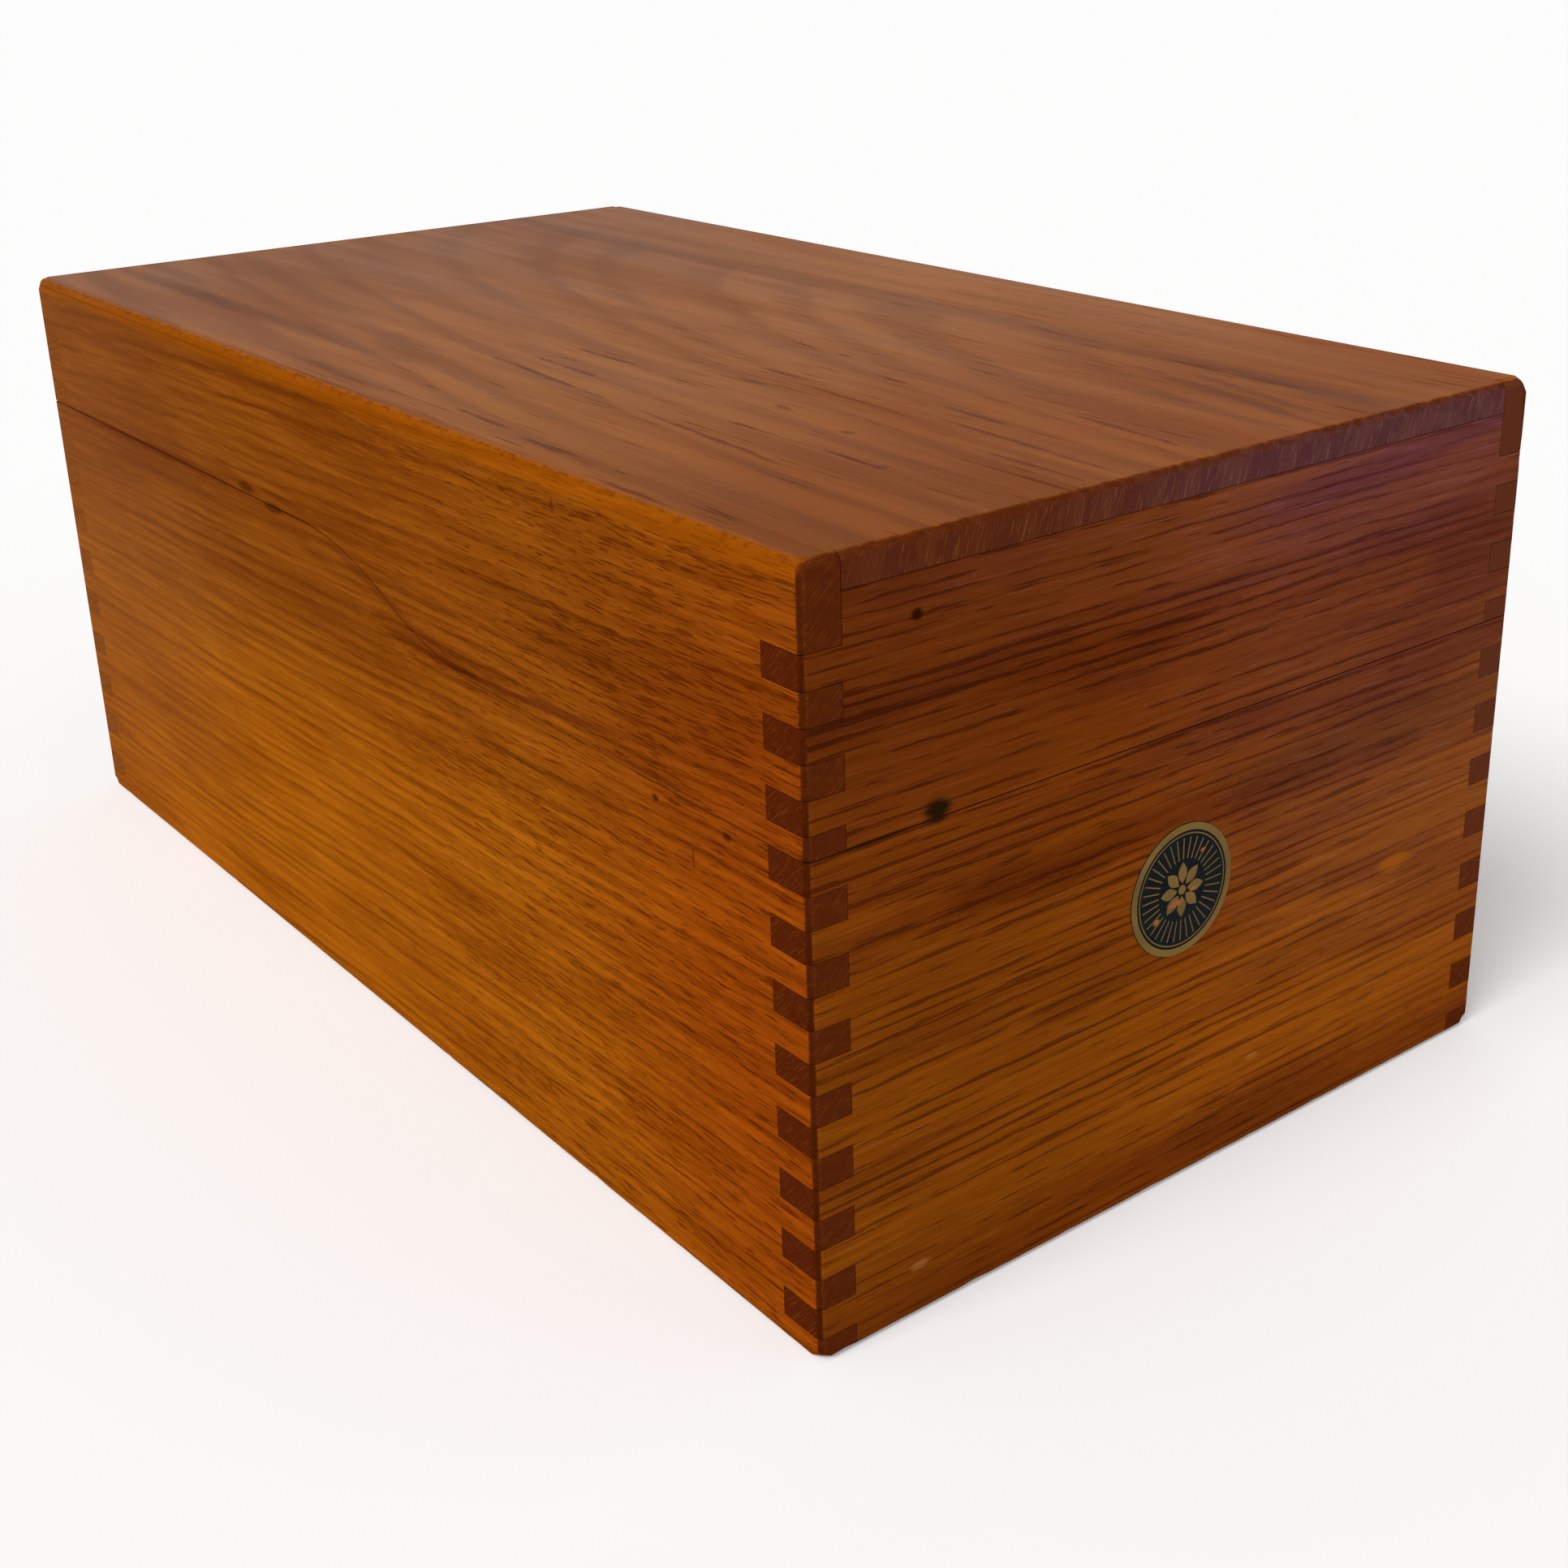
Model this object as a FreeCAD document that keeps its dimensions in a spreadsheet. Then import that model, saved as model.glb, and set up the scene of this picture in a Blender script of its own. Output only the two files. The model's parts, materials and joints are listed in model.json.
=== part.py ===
"""Index card box of oak, with finger jointed corners, a hinged lid and a card follower.

The carcass is glued up as one closed box and sawn apart afterwards. The saw line runs level from
the front, climbs both sides in an ogee and runs level again to the back, where two butt hinges
carry the lid. Inside, a block on a shoe that slides in a steel track keeps the cards upright.

Millimetres. The origin is the centre of the underside, +Z is up and the front faces -Y.
"""
import FreeCAD
import Part
import Sketcher
import math
import os
import re

from FreeCAD import Placement, Rotation, Vector

# Driving dimensions
SIZES = {
    # outside of the closed box
    "box_width": 180.0,
    "box_length": 330.0,
    "box_height": 144.0,
    # boards
    "side_thickness": 8.0,
    "end_thickness": 10.0,
    "top_thickness": 6.0,
    "bottom_thickness": 9.0,
    "rabbet_depth": 3.0,
    "arris_radius": 1.5,
    # finger joints and the saw line
    "finger_height": 6.0,
    "saw_kerf": 1.6,
    "lid_front_height": 49.0,
    "ogee_centre": 140.0,
    "ogee_run": 76.0,
    "parting_gap": 0.3,
    # badge on the front
    "badge_diameter": 26.5,
    "badge_thickness": 0.3,
    "badge_drop": 32.0,
    "badge_offset": 4.2,
    # butt hinges
    "hinge_inset": 24.0,
    "hinge_length": 32.0,
    "knuckle_radius": 2.0,
    "hinge_pin_radius": 1.0,
    "leaf_margin": 1.3,
    "leaf_thickness": 1.2,
    "leaf_screw_inset": 6.0,
    "stop_bevel": 1.2,
    "lid_opening": 100.0,
    # wood screws
    "screw_head_radius": 1.6,
    "screw_head_height": 1.0,
    "screw_shank_radius": 0.9,
    "screw_length": 9.0,
    "screw_tip": 2.0,
    "screw_slot_width": 0.6,
    "screw_slot_depth": 0.5,
    # follower track and its tacks
    "track_width": 20.0,
    "track_height": 5.0,
    "track_sheet": 0.8,
    "track_slot": 8.0,
    "track_end_gap": 5.0,
    "tongue_length": 10.0,
    "tack_head_radius": 1.5,
    "tack_head_height": 0.8,
    "tack_shank_radius": 0.7,
    "tack_cover": 0.8,
    "tack_tip": 1.0,
    "tack_spacing": 10.0,
    # card follower
    "block_side_gap": 7.0,
    "block_headroom": 36.5,
    "block_thickness": 12.0,
    "block_corner": 14.0,
    "follower_lean": 12.0,
    "saddle_width": 20.0,
    "saddle_length": 12.0,
    "saddle_rise": 7.5,
    "shoe_nose": 25.0,
    "shoe_tail": 8.0,
    "pivot_height": 7.0,
    "pivot_radius": 1.5,
    "pivot_overhang": 1.0,
    "bracket_sheet": 1.5,
    "bracket_height": 46.0,
    "bracket_lift": 1.0,
    "bracket_screw_spread": 14.0,
    "bracket_screw_pitch": 16.0,
    "bracket_screw_rise": 16.0,
    # fits
    "running_clearance": 0.3,
    "pin_clearance": 0.05,
    "mortise_clearance": 0.1,
    "stop_clearance": 0.1,
}

# How far a cutting tool runs past the face that it opens
OVERSHOOT = 2.0

# Least share of its volume that a body has to lose when something is cut out of it
LEAST_CUT = 1e-4

# Knuckles of a hinge: the base leaf has the first and every other one
KNUCKLES = 5

# Places that several pieces share, worked out from the driving dimensions
INSIDE_X = "(box_width / 2 - side_thickness)"
INSIDE_Y = "(box_length / 2 - end_thickness)"
FLOOR = "bottom_thickness"
FRONT_RIM = "(box_height - lid_front_height)"
FINGER_PITCH = "(2 * finger_height)"
CUT_FINGER = "(finger_height - saw_kerf)"
LID_FINGER = f"({FRONT_RIM} + {CUT_FINGER})"
OGEE_RISE = f"(2 * finger_height + {CUT_FINGER})"
OGEE_RADIUS = f"((ogee_run ^ 2 + {OGEE_RISE} ^ 2) / (4 * {OGEE_RISE}))"
OGEE_LOW = "(ogee_centre - ogee_run / 2 - box_length / 2)"
OGEE_MID = "(ogee_centre - box_length / 2)"
OGEE_HIGH = "(ogee_centre + ogee_run / 2 - box_length / 2)"
OGEE_MID_HEIGHT = f"({FRONT_RIM} + {OGEE_RISE} / 2)"
BACK_RIM = f"({FRONT_RIM} + {OGEE_RISE})"
LID_FRONT_RIM = f"({FRONT_RIM} + parting_gap)"
LID_BACK_RIM = f"({BACK_RIM} + parting_gap)"
TOP_UNDERSIDE = "(box_height - top_thickness)"
HINGE_Y = "(box_length / 2 - stop_bevel)"
HINGE_Z = f"({BACK_RIM} + parting_gap / 2)"
KNUCKLE_ROOM = "(knuckle_radius + running_clearance)"
LEAF_REACH = "(end_thickness - stop_bevel - leaf_margin)"
TRACK_END = f"({INSIDE_Y} - track_end_gap)"
TRACK_FLOOR = f"({FLOOR} - track_height)"
CHANNEL_END = f"({TRACK_END} - tongue_length)"
TACK_Y = f"({TRACK_END} - tongue_length / 2)"
TACK_LENGTH = f"({TRACK_FLOOR} + track_sheet - tack_cover)"
PIVOT_Y = f"({CHANNEL_END} - running_clearance - shoe_tail)"
PIVOT_Z = f"({FLOOR} + pivot_height)"
PIVOT_SETBACK = ("(saddle_length / 2 * cos(follower_lean) + saddle_rise * sin(follower_lean)"
                 " + bracket_sheet + stop_clearance)")
BLOCK_BACK = f"({PIVOT_Y} - {PIVOT_SETBACK})"
BRACKET_HALF = "(saddle_width / 2 + running_clearance + bracket_sheet)"
EAR_RADIUS = "(pivot_height - bracket_lift)"

# Turns that lay a bar's own axis along an axis of the box
AXES = {
    "+X": Rotation(Vector(0, 1, 0), 90),
    "-Y": Rotation(Vector(1, 0, 0), 90),
    "+Z": Rotation(),
    "-Z": Rotation(Vector(1, 0, 0), 180),
}

doc = FreeCAD.newDocument("index_card_box")
sheet = doc.addObject("Spreadsheet::Sheet", "Sizes")
for row, (alias, number) in enumerate(SIZES.items(), start=1):
    sheet.set(f"A{row}", alias)
    sheet.set(f"B{row}", str(number))
    sheet.setAlias(f"B{row}", alias)
doc.recompute()

nodes = []


# Expressions

def expression(text):
    """Turn the names of sizes into references to the sheet."""
    return re.sub(r"[a-z]\w*", lambda word: f"Sizes.{word[0]}" if word[0] in SIZES else word[0], text)


def value(text):
    """Work out an expression with the sheet's numbers."""
    return float(sheet.evalExpression(expression(text)))


def bind(thing, **texts):
    """Tie properties to expressions; a double underscore in a key stands for a dot."""
    for path, text in texts.items():
        thing.setExpression(path.replace("__", "."), expression(text))


def put(thing, place):
    """Tie the place of a piece to its X, Y and Z expressions."""
    bind(thing, Placement__Base__x=place[0], Placement__Base__y=place[1], Placement__Base__z=place[2])
    return thing


def node(thing, name):
    """Name a finished piece and put it on the list of pieces to write."""
    thing.Label = name
    nodes.append(thing)
    return thing


# Primitives and booleans

def box(name, low, size):
    """A block from its low corner and its size along X, Y and Z."""
    block = doc.addObject("Part::Box", name)
    bind(block, Length=size[0], Width=size[1], Height=size[2])
    return put(block, low)


def centred_box(name, half_x, low_y, low_z, size_y, size_z):
    """A block whose width lies evenly on both sides of the middle of the box."""
    return box(name, (f"-{half_x}", low_y, low_z), (f"2 * {half_x}", size_y, size_z))


def cylinder(name, axis, start, radius, height):
    """A round bar that runs from its start along an axis."""
    bar = doc.addObject("Part::Cylinder", name)
    bar.Placement = Placement(Vector(), AXES[axis])
    bind(bar, Radius=radius, Height=height)
    return put(bar, start)


def cone(name, axis, start, radius, end_radius, height):
    """A tapered bar that runs from its start along an axis."""
    bar = doc.addObject("Part::Cone", name)
    bar.Placement = Placement(Vector(), AXES[axis])
    bind(bar, Radius1=radius, Radius2=end_radius, Height=height)
    return put(bar, start)


def fuse(name, shapes):
    """One solid from several that meet."""
    joined = doc.addObject("Part::MultiFuse", name)
    joined.Shapes = shapes
    joined.Refine = True
    return joined


def cut(name, base, tools):
    """A solid less its cutting tools."""
    left = doc.addObject("Part::Cut", name)
    left.Base = base
    left.Tool = tools[0] if len(tools) == 1 else fuse(f"{name}_tools", tools)
    left.Refine = True
    return left


# Sketched bodies

def new_body(name, place=("0", "0", "0")):
    """An empty sketched body at a place."""
    return put(doc.addObject("PartDesign::Body", name), place)


def pin_down(sketch, kind, text, *where):
    """Add a dimension to a sketch and tie it to an expression."""
    number = sketch.addConstraint(Sketcher.Constraint(kind, *where, value(text)))
    sketch.setExpression(f"Constraints[{number}]", expression(text))


def draw(body, plane, corners):
    """Draw a closed outline on one of a body's own planes.

    A corner is (across, up), or (across, up, radius, turn) where the edge that leaves it is an arc:
    turn is 1 for an arc that bends left and -1 for one that bends right.
    """
    sketch = body.newObject("Sketcher::SketchObject", f"{body.Name}_outline")
    support = next(feature for feature in body.Origin.OriginFeatures if feature.Role == plane)
    sketch.AttachmentSupport = [(support, "")]
    sketch.MapMode = "FlatFace"
    points = [Vector(value(corner[0]), value(corner[1]), 0) for corner in corners]
    ends = []
    for index, corner in enumerate(corners):
        start = points[index]
        end = points[(index + 1) % len(points)]
        turn = corner[3] if len(corner) > 2 else 0
        if turn:
            radius = value(corner[2])
            chord = end - start
            inward = Vector(-chord.y, chord.x, 0).normalize() * turn
            reach = math.sqrt(max(radius ** 2 - (chord.Length / 2) ** 2, 0.0))
            crown = (start + end) * 0.5 + inward * (reach - radius)
            edge = Part.Arc(start, crown, end) if turn > 0 else Part.Arc(end, crown, start)
        else:
            edge = Part.LineSegment(start, end)
        sketch.addGeometry(edge, False)
        ends.append((1, 2) if turn >= 0 else (2, 1))
    for index, corner in enumerate(corners):
        following = (index + 1) % len(corners)
        sketch.addConstraint(
            Sketcher.Constraint("Coincident", index, ends[index][1], following, ends[following][0]))
        pin_down(sketch, "DistanceX", corner[0], -1, 1, index, ends[index][0])
        pin_down(sketch, "DistanceY", corner[1], -1, 1, index, ends[index][0])
        if len(corner) > 2:
            pin_down(sketch, "Radius", corner[2], index)
    return sketch


def pad(body, plane, corners, length, reverse=False, midplane=False):
    """Draw an outline and give it thickness."""
    sketch = draw(body, plane, corners)
    feature = body.newObject("PartDesign::Pad", f"{body.Name}_pad")
    feature.Profile = sketch
    feature.SideType = "Symmetric" if midplane else "One side"
    feature.Reversed = reverse
    bind(feature, Length=length)
    body.Tip = feature
    return body


def spin(body, corners):
    """Draw a half profile to the right of the upright axis and turn it full circle."""
    sketch = draw(body, "XZ_Plane", corners)
    feature = body.newObject("PartDesign::Revolution", f"{body.Name}_turned")
    feature.Profile = sketch
    feature.ReferenceAxis = (sketch, ["V_Axis"])
    feature.Angle = 360.0
    body.Tip = feature
    return body


def rectangle(left, bottom, right, top):
    """The corners of an upright rectangle."""
    return [(left, bottom), (right, bottom), (right, top), (left, top)]


def check_cut(body, before):
    """Stop if the last cut left a body's volume as it was."""
    doc.recompute()
    if body.Shape.Volume > before * (1 - LEAST_CUT):
        raise RuntimeError(f"{body.Name}: a cut removed nothing")


def sockets(body, plane, corners, reverse, count):
    """Cut a row of finger sockets, one above the other, right through a board."""
    if count < 1:
        return
    doc.recompute()
    before = body.Shape.Volume
    sketch = draw(body, plane, corners)
    pocket = body.newObject("PartDesign::Pocket", f"{body.Name}_socket")
    pocket.Profile = sketch
    pocket.Type = "ThroughAll"
    pocket.Reversed = reverse
    body.Tip = pocket
    if count > 1:
        row_of = body.newObject("PartDesign::LinearPattern", f"{body.Name}_sockets")
        row_of.Originals = [pocket]
        row_of.Direction = (sketch, ["V_Axis"])
        bind(row_of, Length=f"{FINGER_PITCH} * {count - 1}")
        row_of.Occurrences = count
        body.Tip = row_of
    check_cut(body, before)


# Rounded outside of the closed box, which every carcass board is trimmed to
outside = pad(new_body("outside"), "XY_Plane",
              rectangle("-box_width / 2", "-box_length / 2", "box_width / 2", "box_length / 2"),
              "box_height")
doc.recompute()
square_block = outside.Tip
rounding = outside.newObject("PartDesign::Fillet", "outside_arrises")
rounding.Base = (square_block, [f"Edge{number + 1}" for number in range(len(square_block.Shape.Edges))])
bind(rounding, Radius="arris_radius")
outside.Tip = rounding

# Finger counts: as many whole fingers as the heights hold
finger = value("finger_height")
base_front_count = math.floor((value(FRONT_RIM) - finger) / (2 * finger)) + 1
lid_front_count = math.floor((value(f"{TOP_UNDERSIDE} - {LID_FINGER}") - finger) / (2 * finger)) + 1
base_back_count = base_front_count + 1
lid_back_count = lid_front_count - 1

# Heights that the counts set: the lowest finger of the end boards, in the base, in the lid at the
# front and in the lid at the back, and the shoulder under the lid's tall top finger
BASE_FINGER = f"({FRONT_RIM} + finger_height - {FINGER_PITCH} * {base_front_count})"
LID_BACK_FINGER = f"({LID_FINGER} + {FINGER_PITCH})"
LID_SHOULDER = f"({LID_FINGER} + {FINGER_PITCH} * {lid_front_count} - finger_height)"

# Tools that several boards are cut by

# The rabbet round the underside is as large as the bottom
bottom_half_x = f"({INSIDE_X} + rabbet_depth)"
bottom_half_y = f"({INSIDE_Y} + rabbet_depth)"
bottom_blank = centred_box("bottom_blank", bottom_half_x, f"-{bottom_half_y}", "0",
                           f"2 * {bottom_half_y}", "bottom_thickness")

# The back arrises of base and lid are bevelled, so that the open lid comes to rest on the base
bevel_far = f"(box_length / 2 + {OVERSHOOT})"
bevel_drop = f"((stop_bevel + {OVERSHOOT}) * tan(lid_opening / 2))"
bevel_width = f"box_width + 2 * {OVERSHOOT}"
base_bevel = pad(new_body("base_bevel"), "YZ_Plane",
                 [(HINGE_Y, BACK_RIM), (bevel_far, f"{BACK_RIM} - {bevel_drop}"),
                  (bevel_far, f"{BACK_RIM} + {OVERSHOOT}"), (HINGE_Y, f"{BACK_RIM} + {OVERSHOOT}")],
                 bevel_width, midplane=True)
lid_bevel = pad(new_body("lid_bevel"), "YZ_Plane",
                [(HINGE_Y, LID_BACK_RIM), (HINGE_Y, f"{LID_BACK_RIM} - {OVERSHOOT}"),
                 (bevel_far, f"{LID_BACK_RIM} - {OVERSHOOT}"),
                 (bevel_far, f"{LID_BACK_RIM} + {bevel_drop}")],
                bevel_width, midplane=True)

# Hinge places: the middle of each hinge and, in each leaf, of its screws
HINGE_X = "(box_width / 2 - hinge_inset - hinge_length / 2)"
HINGES = {"left": f"(-{HINGE_X})", "right": HINGE_X}
LEAF_SCREW_Y = f"({HINGE_Y} - ({KNUCKLE_ROOM} + {LEAF_REACH}) / 2)"


def leaf_screw_places(middle):
    """Where a leaf's two screws stand along the hinge."""
    from_middle = "(hinge_length / 2 - leaf_screw_inset)"
    return [f"({middle} - {from_middle})", f"({middle} + {from_middle})"]


def screw_hole(name, axis, place):
    """The hole that a wood screw goes into."""
    return cylinder(name, axis, place, "screw_shank_radius + pin_clearance",
                    "screw_length + running_clearance")


def countersink(name, axis, place):
    """The tapered seat of a wood screw's head."""
    return cone(name, axis, place, "screw_head_radius + pin_clearance",
                "screw_shank_radius + pin_clearance", "screw_head_height")


def hinge_mortises(part, axis, rim, leaf_bottom):
    """What is cut out of one back board for both hinges: leaves, barrels and screws."""
    tools = []
    for side, middle in HINGES.items():
        start = f"({middle} - hinge_length / 2 - mortise_clearance)"
        length = "hinge_length + 2 * mortise_clearance"
        reach = f"({LEAF_REACH} + mortise_clearance)"
        tools.append(box(f"{side}_{part}_mortise", (start, f"{HINGE_Y} - {reach}", leaf_bottom),
                         (length, reach, "leaf_thickness")))
        tools.append(cylinder(f"{side}_{part}_barrel_room", "+X", (start, HINGE_Y, HINGE_Z),
                              KNUCKLE_ROOM, length))
        for number, x in enumerate(leaf_screw_places(middle)):
            place = (x, LEAF_SCREW_Y, rim)
            tools.append(screw_hole(f"{side}_{part}_screw_hole_{number}", axis, place))
            tools.append(countersink(f"{side}_{part}_head_room_{number}", axis, place))
    return tools


# Carcass boards

def board(name, blank, tools):
    """Cut what is let into a carcass board and trim it to the rounded outside."""
    trimmed = doc.addObject("Part::Common", f"{name}_trimmed")
    trimmed.Base = cut(f"{name}_cut", blank, tools) if tools else blank
    trimmed.Tool = outside
    trimmed.Refine = True
    return node(trimmed, name)


def end_board(name, near_face, outline, lowest_socket, count, tools):
    """A front or back board: its fingers stand and the side boards' fingers are cut away."""
    blank = pad(new_body(f"{name}_blank", ("0", near_face, "0")), "XZ_Plane", outline, "end_thickness",
                reverse=True)
    for low, high in (("-box_width / 2", f"-{INSIDE_X}"), (INSIDE_X, "box_width / 2")):
        outline_of_one = rectangle(low, lowest_socket, high, f"{lowest_socket} + finger_height")
        sockets(blank, "XZ_Plane", outline_of_one, False, count)
    return board(name, blank, tools)


def side_boards(part, outline, rows, tools):
    """A left and a right board, with rows of sockets for the front and back boards' fingers."""
    front = ("-box_length / 2", f"-{INSIDE_Y}")
    back = (INSIDE_Y, "box_length / 2")
    for side, near_face in (("left", "-box_width / 2"), ("right", INSIDE_X)):
        name = f"{part}_{side}_side"
        blank = pad(new_body(f"{name}_blank", (near_face, "0", "0")), "YZ_Plane", outline,
                    "side_thickness")
        for (low, high), (lowest, count) in zip((front, back), rows):
            outline_of_one = rectangle(low, lowest, high, f"{lowest} + finger_height")
            sockets(blank, "YZ_Plane", outline_of_one, True, count)
        board(name, blank, tools)


def lid_end_outline(rim):
    """A lid end board: its top part stands between the tall top fingers of the sides."""
    return [("-box_width / 2", rim), ("box_width / 2", rim), ("box_width / 2", LID_SHOULDER),
            (INSIDE_X, LID_SHOULDER), (INSIDE_X, TOP_UNDERSIDE), (f"-{INSIDE_X}", TOP_UNDERSIDE),
            (f"-{INSIDE_X}", LID_SHOULDER), ("-box_width / 2", LID_SHOULDER)]


front_face = "-box_length / 2"
end_board("base_front", front_face,
          rectangle("-box_width / 2", "0", "box_width / 2", FRONT_RIM),
          f"({BASE_FINGER} - finger_height)", base_front_count, [bottom_blank])
end_board("base_back", INSIDE_Y,
          rectangle("-box_width / 2", "0", "box_width / 2", BACK_RIM),
          f"({BASE_FINGER} - finger_height)", base_back_count + 1,
          [bottom_blank, base_bevel]
          + hinge_mortises("base", "-Z", BACK_RIM, f"{BACK_RIM} - leaf_thickness"))
side_boards("base",
            [("-box_length / 2", "0"), ("box_length / 2", "0"), ("box_length / 2", BACK_RIM),
             (OGEE_HIGH, BACK_RIM, OGEE_RADIUS, 1), (OGEE_MID, OGEE_MID_HEIGHT, OGEE_RADIUS, -1),
             (OGEE_LOW, FRONT_RIM), ("-box_length / 2", FRONT_RIM)],
            ((BASE_FINGER, base_front_count), (BASE_FINGER, base_back_count)),
            [bottom_blank, base_bevel])

end_board("lid_front", front_face, lid_end_outline(LID_FRONT_RIM),
          f"({LID_FINGER} - finger_height)", lid_front_count, [])
end_board("lid_back", INSIDE_Y, lid_end_outline(LID_BACK_RIM),
          f"({LID_BACK_FINGER} + finger_height)", lid_back_count - 1,
          [lid_bevel] + hinge_mortises("lid", "+Z", LID_BACK_RIM, LID_BACK_RIM))
side_boards("lid",
            [("-box_length / 2", LID_FRONT_RIM), (OGEE_LOW, LID_FRONT_RIM, OGEE_RADIUS, 1),
             (OGEE_MID, f"{OGEE_MID_HEIGHT} + parting_gap", OGEE_RADIUS, -1), (OGEE_HIGH, LID_BACK_RIM),
             ("box_length / 2", LID_BACK_RIM), ("box_length / 2", "box_height"),
             ("-box_length / 2", "box_height")],
            ((LID_FINGER, lid_front_count), (LID_BACK_FINGER, lid_back_count)),
            [lid_bevel])

top_blank = centred_box("top_blank", INSIDE_X, "-box_length / 2", TOP_UNDERSIDE, "box_length",
                        "top_thickness")
board("lid_top", top_blank, [])

# Badge
node(cylinder("badge_disc", "-Y", ("-badge_offset", front_face, f"{FRONT_RIM} - badge_drop"),
              "badge_diameter / 2", "badge_thickness"), "front_badge")

# Wood screw: its head is up, with the middle of the head's flat top at the body's own origin
wood_screw = spin(new_body("wood_screw"),
                  [("0", "-screw_length"), ("screw_shank_radius", "screw_tip - screw_length"),
                   ("screw_shank_radius", "-screw_head_height"), ("screw_head_radius", "0"), ("0", "0")])
doc.recompute()
unslotted = wood_screw.Shape.Volume
slot_sketch = draw(wood_screw, "XY_Plane",
                   rectangle("-2 * screw_head_radius", "-screw_slot_width / 2",
                             "2 * screw_head_radius", "screw_slot_width / 2"))
slot = wood_screw.newObject("PartDesign::Pocket", "wood_screw_slot")
slot.Profile = slot_sketch
bind(slot, Length="screw_slot_depth")
wood_screw.Tip = slot
check_cut(wood_screw, unslotted)

# Track tack: the underside of its domed head is at the body's own origin
DOME_RADIUS = "((tack_head_radius ^ 2 + tack_head_height ^ 2) / (2 * tack_head_height))"
track_tack = spin(new_body("track_tack"),
                  [("0", f"-{TACK_LENGTH}"), ("tack_shank_radius", f"tack_tip - {TACK_LENGTH}"),
                   ("tack_shank_radius", "0"), ("tack_head_radius", "0", DOME_RADIUS, 1),
                   ("0", "tack_head_height")])


def fasteners(name, kind, turn, places):
    """Copies of one fastener at several places, as one node."""
    copies = []
    for number, place in enumerate(places):
        copy = doc.addObject("App::Link", f"{name}_{number}")
        copy.LinkedObject = kind
        copy.Placement = Placement(Vector(), turn)
        copies.append(put(copy, place))
    together = doc.addObject("Part::Compound", f"{name}_group")
    together.Links = copies
    return node(together, name)


# Butt hinges

def hinge_leaf(side, middle, part, axis, rim, leaf_bottom, own):
    """A leaf with its own knuckles, room for the other leaf's, the pin's bore and screw seats."""
    name = f"{side}_hinge_{part}_leaf"
    start = f"({middle} - hinge_length / 2)"
    pitch = f"(hinge_length / {KNUCKLES})"
    solids = [box(f"{name}_plate", (start, f"{HINGE_Y} - {LEAF_REACH}", leaf_bottom),
                  ("hinge_length", LEAF_REACH, "leaf_thickness"))]
    bore_length = "hinge_length + 2 * running_clearance"
    tools = [cylinder(f"{name}_bore", "+X", (f"{start} - running_clearance", HINGE_Y, HINGE_Z),
                      "hinge_pin_radius + pin_clearance", bore_length)]
    for number in range(KNUCKLES):
        place = f"({start} + {pitch} * {number})"
        if number % 2 == own:
            solids.append(cylinder(f"{name}_knuckle_{number}", "+X",
                                   (f"{place} + running_clearance / 2", HINGE_Y, HINGE_Z),
                                   "knuckle_radius", f"{pitch} - running_clearance"))
        else:
            tools.append(cylinder(f"{name}_room_{number}", "+X",
                                  (f"{place} - running_clearance / 2", HINGE_Y, HINGE_Z),
                                  KNUCKLE_ROOM, f"{pitch} + running_clearance"))
    for number, x in enumerate(leaf_screw_places(middle)):
        seat = (x, LEAF_SCREW_Y, rim)
        tools.append(countersink(f"{name}_seat_{number}", axis, seat))
        tools.append(screw_hole(f"{name}_hole_{number}", axis, seat))
    return node(cut(f"{name}_cut", fuse(f"{name}_blank", solids), tools), name)


for side, middle in HINGES.items():
    hinge_leaf(side, middle, "base", "-Z", BACK_RIM, f"{BACK_RIM} - leaf_thickness", 0)
    hinge_leaf(side, middle, "lid", "+Z", LID_BACK_RIM, LID_BACK_RIM, 1)
    node(cylinder(f"{side}_pin", "+X", (f"{middle} - hinge_length / 2", HINGE_Y, HINGE_Z),
                  "hinge_pin_radius", "hinge_length"), f"{side}_hinge_pin")

leaf_screw_x = [x for middle in HINGES.values() for x in leaf_screw_places(middle)]
fasteners("hinge_base_screws", wood_screw, AXES["+Z"], [(x, LEAF_SCREW_Y, BACK_RIM) for x in leaf_screw_x])
fasteners("hinge_lid_screws", wood_screw, AXES["-Z"],
          [(x, LEAF_SCREW_Y, LID_BACK_RIM) for x in leaf_screw_x])

# Bottom and the track that is let into it
tack_places = [(x, y, f"{TRACK_FLOOR} + track_sheet")
               for y in (f"-{TACK_Y}", TACK_Y)
               for x in ("-tack_spacing / 2", "tack_spacing / 2")]
tack_holes = [cylinder(f"tack_hole_{number}", "-Z", place, "tack_shank_radius + pin_clearance",
                       f"{TACK_LENGTH} + running_clearance")
              for number, place in enumerate(tack_places)]

groove_half = "(track_width / 2 + mortise_clearance)"
groove_end = f"({TRACK_END} + mortise_clearance)"
groove = centred_box("track_groove", groove_half, f"-{groove_end}", TRACK_FLOOR, f"2 * {groove_end}",
                     f"track_height + {OVERSHOOT}")
node(cut("bottom_cut", bottom_blank, [groove] + tack_holes), "base_bottom")

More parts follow.
